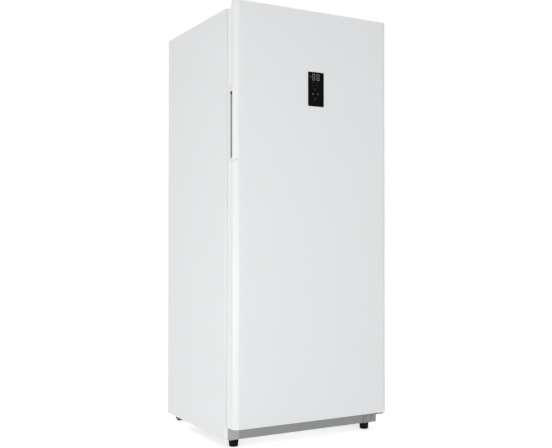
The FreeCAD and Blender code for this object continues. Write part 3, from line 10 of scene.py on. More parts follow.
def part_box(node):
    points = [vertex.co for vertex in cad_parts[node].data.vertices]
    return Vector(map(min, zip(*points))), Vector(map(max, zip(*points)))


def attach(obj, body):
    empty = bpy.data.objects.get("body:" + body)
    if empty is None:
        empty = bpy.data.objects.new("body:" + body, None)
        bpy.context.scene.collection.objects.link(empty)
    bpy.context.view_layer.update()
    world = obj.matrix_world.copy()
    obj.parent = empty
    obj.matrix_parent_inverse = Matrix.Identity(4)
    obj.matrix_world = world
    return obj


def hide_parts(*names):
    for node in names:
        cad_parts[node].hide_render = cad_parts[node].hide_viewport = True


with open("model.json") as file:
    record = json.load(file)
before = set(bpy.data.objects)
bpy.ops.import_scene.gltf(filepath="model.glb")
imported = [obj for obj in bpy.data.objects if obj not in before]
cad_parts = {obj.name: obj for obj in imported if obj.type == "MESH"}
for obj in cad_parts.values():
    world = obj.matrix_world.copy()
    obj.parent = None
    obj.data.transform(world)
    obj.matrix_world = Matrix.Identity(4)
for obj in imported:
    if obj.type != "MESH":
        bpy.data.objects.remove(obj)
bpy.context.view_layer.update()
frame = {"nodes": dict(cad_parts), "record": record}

bl_info = {
    "name": "Upright Freezer",
    "version": (1, 0, 0),
    "blender": (4, 5, 0),
    "location": "3D View > Sidebar > Freezer",
    "description": "Dresses the packed model of an upright freezer with detailed pieces and finishes",
    "category": "Object",
}

MM = 1000.0


# ---- colours and sizes a user would change -----------------------------------------------------------


def linear(code):
    """An sRGB colour written as hex, in linear light: below 0.04045 a channel is divided by 12.92, above
    it is raised to the power 2.4 after a shift of 0.055."""
    channels = [int(code[i:i + 2], 16) / 255 for i in (1, 3, 5)]
    return tuple(c / 12.92 if c <= 0.04045 else ((c + 0.055) / 1.055) ** 2.4 for c in channels)


def length(label, words, metres):
    return bpy.props.FloatProperty(name=label, description=words, default=metres, min=0.0001, max=2.0,
                                   unit="LENGTH", subtype="DISTANCE", precision=4)


def colour(label, words, code):
    return bpy.props.FloatVectorProperty(name=label, description=words, default=linear(code), min=0.0,
                                         max=1.0, size=3, subtype="COLOR")


class FreezerSizes(bpy.types.PropertyGroup):
    door_corner: length("Door corner", "Radius of the door skin's two upright front corners", 0.020)
    skin_gauge: length("Skin gauge", "Thickness of the door's painted sheet", 0.001)
    seam: length("Seam", "Width of the joint between the door skin and its plastic edge", 0.0006)
    cap_round: length("Cap round", "Radius of the end caps' moulded edges", 0.0012)
    sheet_bend: length("Sheet bend", "Bend radius of the side sheets' front edges", 0.009)
    slot_round: length("Slot round", "Rolled edge of the finger slot's mouth", 0.0016)
    display_corner: length("Display corner", "Corner radius of the display glass", 0.004)
    digit_height: length("Digit height", "Height of the display's digits", 0.023)
    digit_stroke: length("Digit stroke", "Width of one lit bar of a digit", 0.0026)
    dyke_round: length("Dyke round", "Radius of the raised rib round the door bins", 0.005)
    bin_corner: length("Bin corner", "Radius of the door bins' upright corners", 0.014)
    drawer_corner: length("Drawer corner", "Radius of the drawers' upright corners", 0.016)
    room_corner: length("Room corner", "Radius of the cold room's long corners", 0.024)
    trim_round: length("Trim round", "Radius of the shelf trims' edges", 0.002)
    louvre_reach: length("Louvre reach", "How far the rear cover's louvres are pressed in", 0.004)
    tread_pitch: length("Tread pitch", "Distance between the grooves of the rear rollers", 0.0055)


class FreezerColours(bpy.types.PropertyGroup):
    enamel: colour("Enamel", "Baked white enamel on the door and the cabinet", "#E6E7E8")
    edge_plastic: colour("Edge plastic", "ABS caps, side strips and handle", "#EDEEEE")
    liner: colour("Liner", "Formed styrene of the cold room and the door's inside", "#E9ECEE")
    seal: colour("Seal", "Vinyl door seal", "#E6E7E7")
    glass: colour("Display glass", "Back-printed display glass", "#08090A")
    digit: colour("Digits", "Unlit bars of the display's digits", "#66686A")
    faint_mark: colour("Faint marks", "Unlit indicator marks on the display", "#2C2D2F")
    rail: colour("Foot rail", "Grey enamel of the rail across the foot", "#8F9091")
    # the foot ends' grey is the rail's grey made lighter: painted light
    foot_end: colour("Foot ends", "Grey enamel of the plates beside the foot rail, lighter than the rail by painted light", "#A9AAAB")
    handle: colour("Handle", "White ABS of the handle moulding", "#E8E9E9")
    # the pocket colour is a grey of painted shade inside the finger slot
    pocket: colour("Pocket", "Grey painted shade inside the finger slot", "#C6C7C8")
    clear: colour("Clear styrene", "Door bins and drawers", "#DCEBF4")
    black_plastic: colour("Black plastic", "Fan motor, drain pan and relay cover", "#17181A")
    roller: colour("Roller", "Hard dark plastic of the rear rollers", "#3A3B3D")
    copper: colour("Copper", "Refrigerant tubes", "#C98A67")
    foam: colour("Foam", "Rigid polyurethane filling", "#D9C48C")


def sizes():
    return bpy.context.scene.freezer_sizes


def colours():
    return bpy.context.scene.freezer_colours


def node_box(name):
    """A CAD node's lowest and highest corners, in millimetres."""
    low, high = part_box(name)
    return np.array(low) * MM, np.array(high) * MM


# ---- surfaces ------------------------------------------------------------------------------------------


def grid_faces(rows, columns, close_rows=False, close_columns=False):
    """The quads of a grid of points written row by row; either way round it may close on itself."""
    r, c = np.meshgrid(np.arange(rows if close_rows else rows - 1),
                       np.arange(columns if close_columns else columns - 1), indexing="ij")
    r1, c1 = (r + 1) % rows, (c + 1) % columns
    corners = (r * columns + c, r * columns + c1, r1 * columns + c1, r1 * columns + c)
    return np.stack(corners, -1).reshape(-1, 4)


def lofted(loops, ring=False, low_cap=True, high_cap=True, open_loops=False):
    """A skin through a row of loops: point (i, j) is loop i's point j. A ring joins the last loop to the
    first; otherwise each end loop may be filled with one face."""
    loops = np.asarray(loops, float)
    rows, columns = loops.shape[:2]
    faces = [grid_faces(rows, columns, ring, not open_loops)]
    if not ring and low_cap:
        faces.append(np.arange(columns)[None, ::-1])
    if not ring and high_cap:
        faces.append((rows - 1) * columns + np.arange(columns)[None])
    return loops.reshape(-1, 3), faces


def quarter(steps):
    """The angles of a quarter turn, in equal steps."""
    return np.linspace(0, np.pi / 2, steps + 1)


def placed(flat, height, up):
    """A flat run of points (u, v) set at a height along the axis named up."""
    u, v = flat[..., 0], flat[..., 1]
    h = np.broadcast_to(height, u.shape)
    return np.stack({"x": (h, u, v), "y": (u, h, v), "z": (u, v, h)}[up], -1)


def eased(points, radius, steps=4, closed=False):
    """A broken line with soft corners: each corner P becomes the parabola
    (1-t)^2 A + 2t(1-t) P + t^2 B, where A and B lie one radius from P on its two sides."""
    points = np.asarray(points, float)
    before, after = np.roll(points, 1, 0) - points, np.roll(points, -1, 0) - points
    size_before, size_after = (np.maximum(np.linalg.norm(v, axis=1), 1e-9) for v in (before, after))
    reach = np.minimum(np.broadcast_to(radius, len(points)), 0.499 * np.minimum(size_before, size_after))
    if not closed:
        reach = np.where(np.isin(np.arange(len(points)), (0, len(points) - 1)), 0.0, reach)
    a = points + before * (reach / size_before)[:, None]
    b = points + after * (reach / size_after)[:, None]
    t = np.linspace(0, 1, steps + 1)[None, :, None]
    curve = (1 - t) ** 2 * a[:, None] + 2 * t * (1 - t) * points[:, None] + t ** 2 * b[:, None]
    return curve.reshape(-1, points.shape[1])


def rounded_outline(u, v, radius, inset=0.0, steps=6):
    """A rectangle drawn in by an inset, with quarter circles for corners: each corner's points are
    centre + r (cos a, sin a), the centre one radius in from both sides."""
    u0, u1, v0, v1 = u[0] + inset, u[1] - inset, v[0] + inset, v[1] - inset
    r = min(max(radius - inset, 0.02), (u1 - u0) / 2, (v1 - v0) / 2)
    a = quarter(steps)[None] + np.arange(4)[:, None] * np.pi / 2
    centre_u = np.array([u1 - r, u0 + r, u0 + r, u1 - r])[:, None]
    centre_v = np.array([v1 - r, v1 - r, v0 + r, v0 + r])[:, None]
    return np.stack([centre_u + r * np.cos(a), centre_v + r * np.sin(a)], -1).reshape(-1, 2)


def drawn_in(loop, distance):
    """A closed loop moved inwards: each point shifts along the mean of its two sides' inward normals,
    divided by the cosine of half the turn."""
    loop = np.asarray(loop, float)
    side = np.roll(loop, -1, 0) - loop
    side /= np.maximum(np.linalg.norm(side, axis=1), 1e-9)[:, None]
    normal = np.stack([-side[:, 1], side[:, 0]], -1)
    mean = normal + np.roll(normal, 1, 0)
    mean /= np.maximum(np.sum(mean * mean, axis=1), 0.5)[:, None] / 2
    return loop + mean * distance


def raised(outline, profile, up):
    """An outline carried along a profile: each (inset, height) gives the outline drawn in by the inset
    and set at that height."""
    return np.array([placed(outline(inset), height, up) for inset, height in profile])


def carried(u, v, corner, profile, up, steps=6, ring=False):
    """A rounded rectangle carried along a profile of (inset, height)."""
    return lofted(raised(lambda inset: rounded_outline(u, v, corner, inset, steps), profile, up), ring)


def soft_block(x, y, z, round_edge, corner=None, up="z", steps=4):
    """A block whose edges are all rolled over: a rounded outline carried along a profile that runs in
    by one radius at both ends."""
    spans = {"x": (y, z, x), "y": (x, z, y), "z": (x, y, z)}[up]
    r = round_edge
    corner = max(corner or r, r)
    low, high = spans[2]
    a = quarter(steps)
    turn = np.stack([r * (1 - np.sin(a)), r * (1 - np.cos(a))], -1)
    profile = [(i, low + h) for i, h in turn] + [(i, high - h) for i, h in turn[::-1]]
    return carried(spans[0], spans[1], corner, profile, up)


def both_sides(near, far):
    """The same span to the left and to the right of the middle, each from its lower to its higher x."""
    return [tuple(sorted((side * near, side * far))) for side in (-1, 1)]


def turned(profile, centre, axis, steps=48):
    """A profile of (radius, height) turned about an axis through centre: point (i, j) is the profile's
    point j at angle i, radius (cos a, sin a) across the axis and height along it."""
    profile = np.asarray(profile, float)
    a = np.linspace(0, 2 * np.pi, steps, endpoint=False)[:, None]
    r, h = profile[None, :, 0], profile[None, :, 1]
    across = (r * np.cos(a), r * np.sin(a))
    along = np.broadcast_to(h, across[0].shape)
    order = {"x": (along, *across), "y": (across[0], along, across[1]), "z": (*across, along)}[axis]
    points = np.stack(order, -1) + np.asarray(centre, float)
    return points.reshape(-1, 3), [grid_faces(steps, len(profile), close_rows=True)]


def relief(u, v, height, back, up):
    """A plate whose front is a height over a grid of (u, v) and whose back is one plane; the grid's rim
    is carried straight to that plane."""
    grid = np.stack(np.meshgrid(u, v, indexing="ij"), -1)
    rows, columns = grid.shape[:2]
    front = placed(grid, height, up).reshape(-1, 3)
    index = np.arange(rows * columns).reshape(rows, columns)
    rim = np.concatenate([index[:-1, 0], index[-1, :-1], index[:0:-1, -1], index[0, :0:-1]])
    rear = placed(grid.reshape(-1, 2)[rim], back, up)
    start, count = len(front), len(rim)
    ring = np.arange(count)
    walls = np.stack([rim, np.roll(rim, -1), start + (ring + 1) % count, start + ring], -1)
    return np.concatenate([front, rear]), [grid_faces(rows, columns), walls, (start + ring)[None]]


def edge_roll(values, low, high, radius):
    """How far a face falls back near its edges: r - sqrt(r^2 - (r - d)^2), d the distance to the edge,
    for d below r, and nothing beyond."""
    distance = np.clip(np.minimum(values - low, high - values), 0, radius)
    return radius - np.sqrt(np.maximum(radius ** 2 - (radius - distance) ** 2, 0))


def smooth_step(share):
    """A share from 0 to 1 that starts and ends level: 3 s^2 - 2 s^3."""
    return share ** 2 * (3 - 2 * share)


def near_edges(low, high, radius, count, steps=5):
    """Values from low to high, close together within one radius of both ends."""
    near = radius * (1 - np.cos(quarter(steps)))
    return np.unique(np.round(np.concatenate([low + near, np.linspace(low + radius, high - radius, count),
                                              high - near]), 5))


def make_piece(name, shells, body, slot, replaces=(), look=None, crease=38.0, facing=None, wall=None,
               merge=0.004):
    """One object from shells of points and faces in millimetres: doubles merged and normals worked out
    shell by shell, turned the way that facing gives, then a wall where a thickness is given. Its finish
    is its slot's, unless another look is named."""
    whole = bmesh.new()
    for points, faces in shells:
        mesh = bpy.data.meshes.new(name)
        mesh.from_pydata((np.asarray(points) / MM).tolist(), [],
                         [face for block in faces for face in np.asarray(block).tolist()])
        shell = bmesh.new()
        shell.from_mesh(mesh)
        bmesh.ops.remove_doubles(shell, verts=shell.verts, dist=merge / MM)
        bmesh.ops.dissolve_degenerate(shell, edges=shell.edges, dist=merge / MM / 4)
        bmesh.ops.recalc_face_normals(shell, faces=shell.faces)
        if facing is not None:
            lean = sum((f.normal * f.calc_area()).dot(facing(f.calc_center_median())) for f in shell.faces)
            if lean < 0:
                bmesh.ops.reverse_faces(shell, faces=shell.faces)
        shell.to_mesh(mesh)
        shell.free()
        whole.from_mesh(mesh)
        bpy.data.meshes.remove(mesh)
    mesh = bpy.data.meshes.new(name)
    whole.to_mesh(mesh)
    whole.free()
    mesh.materials.append(finish(look or slot))
    piece = bpy.data.objects.new(name, mesh)
    bpy.context.scene.collection.objects.link(piece)
    if wall is not None:
        sheet = piece.modifiers.new("wall", "SOLIDIFY")
        sheet.thickness = wall / MM
        sheet.offset = -1
        sheet.use_even_offset = True
        ready = piece.evaluated_get(bpy.context.evaluated_depsgraph_get())
        piece.data = bpy.data.meshes.new_from_object(ready)
        piece.modifiers.clear()
        piece.data.name = name
    piece.data.shade_smooth()
    piece.data.set_sharp_from_angle(angle=math.radians(crease))
    flat_first = piece.modifiers.new("large faces keep their normals", "WEIGHTED_NORMAL")
    flat_first.keep_sharp = True
    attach(piece, body)
    if replaces:
        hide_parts(*replaces)
    return piece


# ---- finishes ------------------------------------------------------------------------------------------


def add_node(tree, kind, settings, links=()):
    """Add a node: settings go to its own properties, or else to its input sockets; links are pairs of
    one of its inputs and the output that feeds it."""
    node = tree.nodes.new("ShaderNode" + kind)
    for key, value in settings.items():
        if isinstance(key, str) and key in node.bl_rna.properties:
            setattr(node, key, value)
        else:
            node.inputs[key].default_value = value
    for key, output in links:
        tree.links.new(output, node.inputs[key])
    return node


def start_finish(name, base, roughness, metallic=0.0, **sockets):
    """A new material with its shader's even values set, its tree, shader and object coordinates."""
    material = bpy.data.materials.new(name)
    material.use_nodes = True
    tree = material.node_tree
    shader = tree.nodes["Principled BSDF"]
    values = {"Base Color": (*base, 1.0), "Roughness": roughness, "Metallic": metallic}
    values.update({key.replace("_", " "): value for key, value in sockets.items()})
    for key, value in values.items():
        shader.inputs[key].default_value = value
    return material, tree, shader, add_node(tree, "TexCoord", {}).outputs["Object"]


def toned(base, factor):
    return (*[min(1.0, c * factor) for c in base], 1.0)


def two_tones(tree, shader, source, base, darker, lighter):
    """Let the colour follow a pattern between two tones of the base."""
    tones = add_node(tree, "Mix", {"data_type": "RGBA", 6: toned(base, darker), 7: toned(base, lighter)},
                     [(0, source)])
    tree.links.new(tones.outputs[2], shader.inputs["Base Color"])


def wander(tree, shader, place, base, patch, spread):
    """Let the colour drift between two tones of the base over patches so many millimetres wide."""
    drift = add_node(tree, "TexNoise", {"Scale": MM / patch, "Detail": 3.0, "Roughness": 0.55},
                     [("Vector", place)])
    two_tones(tree, shader, drift.outputs["Fac"], base, 1 - spread, 1 + spread)
    return drift


def embossed(tree, shader, source, height):
    """Raise the surface by a pattern, so many millimetres high."""
    bump = add_node(tree, "Bump", {"Strength": 1.0, "Distance": height / MM}, [("Height", source)])
    tree.links.new(bump.outputs["Normal"], shader.inputs["Normal"])


def uneven_gloss(tree, shader, source, low, high):
    """Let the roughness follow a pattern between two values."""
    spread = add_node(tree, "MapRange", {"From Min": 0.3, "From Max": 0.7, "To Min": low, "To Max": high},
                      [("Value", source)])
    tree.links.new(spread.outputs["Result"], shader.inputs["Roughness"])


def make_finish(name, base, gloss, patch, spread, grain=None, **sockets):
    """One material whose colour wanders by a share of itself, the spread, over patches so many
    millimetres wide. Its grain, where it has one, is (width, height, detail) of the noise that raises
    the surface, in millimetres. Its roughness is one value, or wanders between the two of its gloss."""
    low, high = gloss if isinstance(gloss, tuple) else (gloss, gloss)
    material, tree, shader, place = start_finish(name, base, (low + high) / 2, **sockets)
    drift = wander(tree, shader, place, base, patch, spread)
    if grain:
        width, height, detail = grain
        pattern = add_node(tree, "TexNoise", {"Scale": MM / width, "Detail": detail}, [("Vector", place)])
        embossed(tree, shader, pattern.outputs["Fac"], height)
    if low < high:
        uneven_gloss(tree, shader, drift.outputs["Fac"], low, high)
    return material


def baked_enamel(name, base, gloss=(0.40, 0.50)):
    """Powder-baked enamel on sheet steel, 60 micrometres thick: clean, with a soft sheen, whose
    orange-peel ripple of about 2.5 mm only shows where a highlight runs along it."""
    return make_finish(name, base, gloss, 180, 0.006, (2.5, 0.006, 1.0), IOR=1.5)


def moulded_abs(name, base, gloss=(0.42, 0.50)):
    """Injection-moulded ABS with a fine spark-eroded grain of 0.4 mm, drawn at 0.7 mm so that it shows:
    a satin that spreads highlights more than the enamel beside it."""
    return make_finish(name, base, gloss, 90, 0.008, (0.7, 0.012, 2.0), IOR=1.54)


def display_print(name, base):
    """Grey segment print seen through the glass: matt beside the gloss round it."""
    return make_finish(name, base, 0.35, 4, 0.08, IOR=1.5)


def galvanised_sheet(name, base):
    """Hot-dipped zinc on steel: frozen spangles some 9 mm across, each leaning its own way and so
    lighter or darker than its neighbours."""
    material, tree, shader, place = start_finish(name, base, 0.42, metallic=0.9)
    spangle = add_node(tree, "TexVoronoi", {"Scale": MM / 9, "Randomness": 1.0}, [("Vector", place)])
    lean = add_node(tree, "SeparateColor", {}, [("Color", spangle.outputs["Color"])])
    two_tones(tree, shader, lean.outputs[0], base, 0.84, 1.1)
    uneven_gloss(tree, shader, lean.outputs[1], 0.34, 0.50)
    embossed(tree, shader, spangle.outputs["Distance"], 0.03)
    return material


def rigid_foam(name, base):
    """Rigid polyurethane foam: matt, with closed cells, drawn at 3 mm so that they show."""
    material, tree, shader, place = start_finish(name, base, 0.9, IOR=1.5)
    wander(tree, shader, place, base, 60, 0.08)
    cells = add_node(tree, "TexVoronoi", {"Scale": MM / 3}, [("Vector", place)])
    embossed(tree, shader, cells.outputs["Distance"], 0.3)
    return material


def circuit_laminate(name, base):
    """Green solder mask over glass laminate: satin, with lighter tracks where copper runs beneath, one
    every 2.5 mm."""
    material, tree, shader, place = start_finish(name, base, 0.4, IOR=1.55)
    tracks = add_node(tree, "TexBrick", {"Scale": 1.0, "Brick Width": 0.011, "Row Height": 0.0025,
                                         "Mortar Size": 0.0006, "Color1": toned(base, 1.0),
                                         "Color2": toned(base, 0.85), "Mortar": toned(base, 1.6)},
                      [("Vector", place)])
    tree.links.new(tracks.outputs["Color"], shader.inputs["Base Color"])
    return material


def make_finishes():
    """Every finish once, under the name of the record's material slot or of the piece that it is for."""
    c = colours()
    return {
        "white_enamel": baked_enamel("baked white enamel", c.enamel, (0.30, 0.38)),
        "grey_enamel": baked_enamel("baked grey enamel", c.rail),
        "dark_enamel": baked_enamel("baked dark grey enamel", linear("#38393A")),
        # painted light: the foot ends are a lighter grey than the rail
        "foot_end_left": baked_enamel("grey enamel left end lightened by painted light", c.foot_end),
        "foot_end_right": baked_enamel("grey enamel right end lightened by painted light", c.foot_end),
        "white_plastic": moulded_abs("moulded white ABS", c.edge_plastic),
        "door_edge_plastic": moulded_abs("moulded white ABS edge", c.edge_plastic, (0.38, 0.46)),
        "handle": moulded_abs("moulded white ABS handle", c.handle),
        # painted shade: the finger pocket's grey stands in for the shade inside the slot
        "handle_cup": moulded_abs("painted shade grey ABS in the finger pocket", c.pocket, (0.5, 0.6)),
        # painted shade: a grey strip along the handle's lower seam
        "lower_seam_painted_shade": moulded_abs("grey painted shade along the lower seam", c.rail, (0.6, 0.7)),
        "digits": display_print("grey segment print", c.digit),
        "marks": display_print("dim mark print", c.faint_mark),
        "galvanised_steel": galvanised_sheet("hot-dipped zinc sheet", linear("#B9BDBF")),
        "foam": rigid_foam("rigid polyurethane foam", c.foam),
        "circuit_board": circuit_laminate("green circuit laminate", linear("#1F5A35")),
        # dipped lacquer on pressed steel: thick and glossy, with sags of about 8 mm
        "black_steel": make_finish("dipped black lacquer", linear("#141517"), (0.22, 0.40), 60, 0.2,
                                   (8, 0.05, 2.0), IOR=1.5),
        # zinc plate with a clear passivation: bright, faintly blue, with turning marks 0.8 mm apart
        "zinc_fasteners": make_finish("bright zinc plate", linear("#8C9093"), (0.24, 0.38), 12, 0.05,
                                      (0.8, 0.01, 2.0), metallic=1.0),
        # rolled foil and tube as it leaves the mill: bright grey, with rolling marks of 1.5 mm
        "aluminium_fins": make_finish("mill-finish aluminium", linear("#D3D5D7"), (0.28, 0.44), 20, 0.06,
                                      (1.5, 0.01, 3.0), metallic=1.0),
        # bare tube: warm and half bright, browner in patches of 25 mm where it was brazed or handled
        "copper": make_finish("drawn copper tube", c.copper, (0.28, 0.50), 25, 0.18, (2.0, 0.01, 2.0),
                              metallic=1.0),
        # high-impact polystyrene: glossy, with the slow waviness of a sheet drawn over a mould, 40 mm
        "liner_plastic": make_finish("vacuum-formed white styrene", c.liner, (0.24, 0.32), 140, 0.008,
                                     (40, 0.10, 1.0), IOR=1.59),
        # crystal polystyrene with a drop of blue: clear, and its flow lines, 12 mm apart, bend what is seen
        "clear_plastic": make_finish("clear bluish styrene", c.clear, 0.06, 60, 0.01, (12, 0.02, 1.0),
                                     IOR=1.59, Transmission_Weight=1.0),
        # float glass, 4 mm: clear, with the green of its iron in the edges
        "shelf_glass": make_finish("toughened shelf glass", linear("#D8ECE4"), 0.02, 80, 0.01,
                                   (70, 0.01, 0.0), IOR=1.52, Transmission_Weight=1.0),
        # glass printed on its back: mirror-smooth over a deep dark, a trace lighter in slow clouds
        "display_glass": make_finish("back-printed display glass", c.glass, (0.08, 0.16), 30, 0.15,
                                     IOR=1.52, Specular_IOR_Level=0.04),
        # soft PVC: a dull white skin with hair-fine draw lines, drawn at 1.2 mm so that they show
        "white_seal": make_finish("extruded white vinyl", c.seal, 0.55, 50, 0.02, (1.2, 0.02, 2.0), IOR=1.53),
        # ferrite powder in rubber: dull brown-black
        "magnet_strip": make_finish("ferrite magnet rubber", linear("#3A322C"), 0.8, 8, 0.15,
                                    (1.0, 0.03, 2.0), IOR=1.5),
        # matt rubber, with a bloom of dust in patches of 15 mm
        "black_rubber": make_finish("pressed black rubber", linear("#0E0E0F"), 0.8, 15, 0.25,
                                    (1.5, 0.04, 3.0), IOR=1.5, Specular_IOR_Level=0.12),
        # a leather-fine grain of 1 mm
        "black_plastic": make_finish("moulded black ABS", c.black_plastic, (0.42, 0.58), 40, 0.15,
                                     (1.0, 0.03, 2.0), IOR=1.54),
        # hard and satin, scuffed lighter in streaks of 5 mm where it has rolled
        "roller_plastic": make_finish("moulded dark nylon", c.roller, (0.4, 0.6), 5, 0.2,
                                      (1.0, 0.02, 2.0), IOR=1.53),
    }


FINISHES = {}


def finish(look):
    """A finish by its name; all are made at the first call."""
    if not FINISHES:
        FINISHES.update(make_finishes())
    return FINISHES[look]


def outward(point):
    """The way an outer sheet faces at a point: away from the upright line through the middle."""
    return Vector((point.x, point.y, 0))


# ---- the stage -------------------------------------------------------------------------------------------


# The camera, fitted to the photograph's corners: lens in millimetres on a 36 mm wide sensor, place in
# metres, and turn, tilt and roll in degrees.
LENS = 52.995
STAND = (-1.44296, -2.60127, 0.67205)
AIM = (29.172, 1.172, 0.051)
FLOOR_REACH = 40.0       # metres from the middle to the floor's edges

# Each lamp: name, place and aim in metres, width and height in metres, power in watts.
LAMPS = (("key lamp", (-0.6, -3.4, 0.30), (0.0, 0.0, 0.50), 1.6, 0.6, 21.4),
         ("low key lamp", (-2.6, -3.4, 0.25), (0.0, 0.0, 0.40), 1.6, 0.5, 4.9),
         ("fill lamp", (0.6, -3.6, 0.90), (0.0, 0.0, 0.70), 1.6, 1.2, 4.0),
         ("corner lamp", (-2.2, -1.9, 0.30), (0.0, 0.0, 0.50), 1.2, 0.6, 7.6),
         ("side lamp", (-3.0, -0.3, 0.30), (0.0, 0.0, 0.50), 1.2, 0.6, 14.6),
         ("high side lamp", (-3.6, 0.6, 0.90), (0.0, 0.0, 0.70), 1.4, 1.2, 3.6))


def seen_strength(tree, lit, seen, *rays):
    """A glow whose strength is one value for the light it casts and another for the rays named."""
    path = add_node(tree, "LightPath", {}).outputs
    share = path[rays[0]]
    for ray in rays[1:]:
        share = add_node(tree, "Math", {"operation": "MAXIMUM"}, [(0, share), (1, path[ray])]).outputs[0]
    return add_node(tree, "MapRange", {"To Min": lit, "To Max": seen}, [("Value", share)]).outputs["Result"]


class FREEZER_OT_stage(bpy.types.Operator):
    """Floor, sky, lamps and the camera at the photograph's angle"""
    bl_idname = "freezer.stage"
    bl_label = "Stage"

    def execute(self, context):
        self.floor()
        self.sky(context.scene)
        self.lamps()
        self.camera(context.scene)
        context.scene.view_settings.view_transform = "Standard"
        return {"FINISHED"}

    def floor(self):
        mesh = bpy.data.meshes.new("floor")
        corners = [(x * FLOOR_REACH, y * FLOOR_REACH, 0) for x, y in ((-1, -1), (1, -1), (1, 1), (-1, 1))]
        mesh.from_pydata(corners, [], [(0, 1, 2, 3)])
        floor = bpy.data.objects.new("floor", mesh)
        bpy.context.scene.collection.objects.link(floor)
        material = bpy.data.materials.new("plain white floor")
        material.use_nodes = True
        tree = material.node_tree
        tree.nodes.remove(tree.nodes["Principled BSDF"])
        paint = add_node(tree, "BsdfDiffuse", {"Color": (0.86, 0.86, 0.86, 1)})
        strength = seen_strength(tree, 0.20, 0.68, "Is Camera Ray", "Is Glossy Ray")
        glow = add_node(tree, "Emission", {}, [("Strength", strength)])
        both = add_node(tree, "AddShader", {}, [(0, paint.outputs[0]), (1, glow.outputs[0])])
        tree.links.new(both.outputs[0], tree.nodes["Material Output"].inputs["Surface"])
        mesh.materials.append(material)

    def sky(self, scene):
        world = bpy.data.worlds.new("soft white room")
        scene.world = world
        world.use_nodes = True
        tree = world.node_tree
        background = tree.nodes["Background"]
        background.inputs["Color"].default_value = (1, 1, 1, 1)
        strength = seen_strength(tree, 0.50, 1.0, "Is Camera Ray", "Is Glossy Ray", "Is Transmission Ray")
        tree.links.new(strength, background.inputs["Strength"])

    def lamps(self):
        for name, place, aim, wide, tall, power in LAMPS:
            light = bpy.data.lights.new(name, "AREA")
            light.shape = "RECTANGLE"
            light.size, light.size_y, light.energy = wide, tall, power
            lamp = bpy.data.objects.new(name, light)
            turn = (Vector(aim) - Vector(place)).to_track_quat("-Z", "Y")
            lamp.matrix_world = Matrix.Translation(place) @ turn.to_matrix().to_4x4()
            bpy.context.scene.collection.objects.link(lamp)

    def camera(self, scene):
        data = bpy.data.cameras.new("camera")
        data.lens = LENS
        data.sensor_width = 36
        data.sensor_fit = "HORIZONTAL"
        camera = bpy.data.objects.new("camera", data)
        turn, tilt, roll = (math.radians(v) for v in AIM)
        ahead = np.array([math.sin(turn) * math.cos(tilt), math.cos(turn) * math.cos(tilt),
                          math.sin(tilt)])
        level = np.array([math.cos(turn), -math.sin(turn), 0])
        above = np.cross(level, ahead)
        right = math.cos(roll) * level + math.sin(roll) * above
        up = math.cos(roll) * above - math.sin(roll) * level
        matrix = np.eye(4)
        matrix[:3, :3] = np.stack([right, up, -ahead], -1)
        matrix[:3, 3] = STAND
        camera.matrix_world = Matrix(matrix.tolist())
        scene.collection.objects.link(camera)
        scene.camera = camera


# ---- the door's outside ----------------------------------------------------------------------------------

# Depths named f are counted from the door's front plane towards the back, in millimetres as all lengths.
FRONT = node_box("door_skin")[0][1]
SKIN_WRAP = 26.0                           # how far the painted skin reaches round the door's sides
SHOULDER_DROP = 19.5                       # from the raised lip's top down to the rest of the door's top
RECESS_FRONT, RECESS_WIDTH = 8.0, 65.0     # the hinge recess: its depth f, and its width from the right edge
STEP_IN = 1.1                              # how far the caps' necks are drawn in behind the skin
HANDLE_MID, HANDLE_BOW = 28.0, 38.8        # the handle's bowed ends: their middle's depth f, and their radius
SLOT_FRONT, SLOT_REAR = 20.0, 35.5         # the finger slot's depths f
END_GAP = 0.2                              # between the handle's ends and what meets them
# shares of the way across the handle, close together at both ends, and shares of the way up its sides
ACROSS = (1 - np.cos(np.linspace(0, np.pi, 15))) / 2
UPWARD = np.linspace(0, 1, 8)[1:-1]


def bow_ends(f, gap=0.0):
    """The handle opening's lower and upper ends at depth f: arcs of one radius about two centres on its
    middle line, z = centre -+ sqrt(R^2 - (f - middle)^2)."""
    low, high = (v[2] for v in node_box("handle_insert"))
    bow = HANDLE_BOW + gap
    drop = bow - gap - np.sqrt(np.maximum(bow ** 2 - (np.asarray(f) - HANDLE_MID) ** 2, 0))
    return low + drop, high - drop


def skin_side(f, corner, half):
    """How far out the door's skin lies at depth f: a quarter circle of the corner's radius, then flat."""
    inside = np.clip(corner - np.asarray(f, float), 0, corner)
    return half - corner + np.sqrt(corner ** 2 - inside ** 2)


def front_corner(half, corner, steps):
    """The skin's left front corner seen from above, (x, f) from the side to the front: a quarter circle
    about a point that lies one radius in from both."""
    a = quarter(steps)
    return np.stack([-(half - corner) - corner * np.cos(a), corner - corner * np.sin(a)], -1)


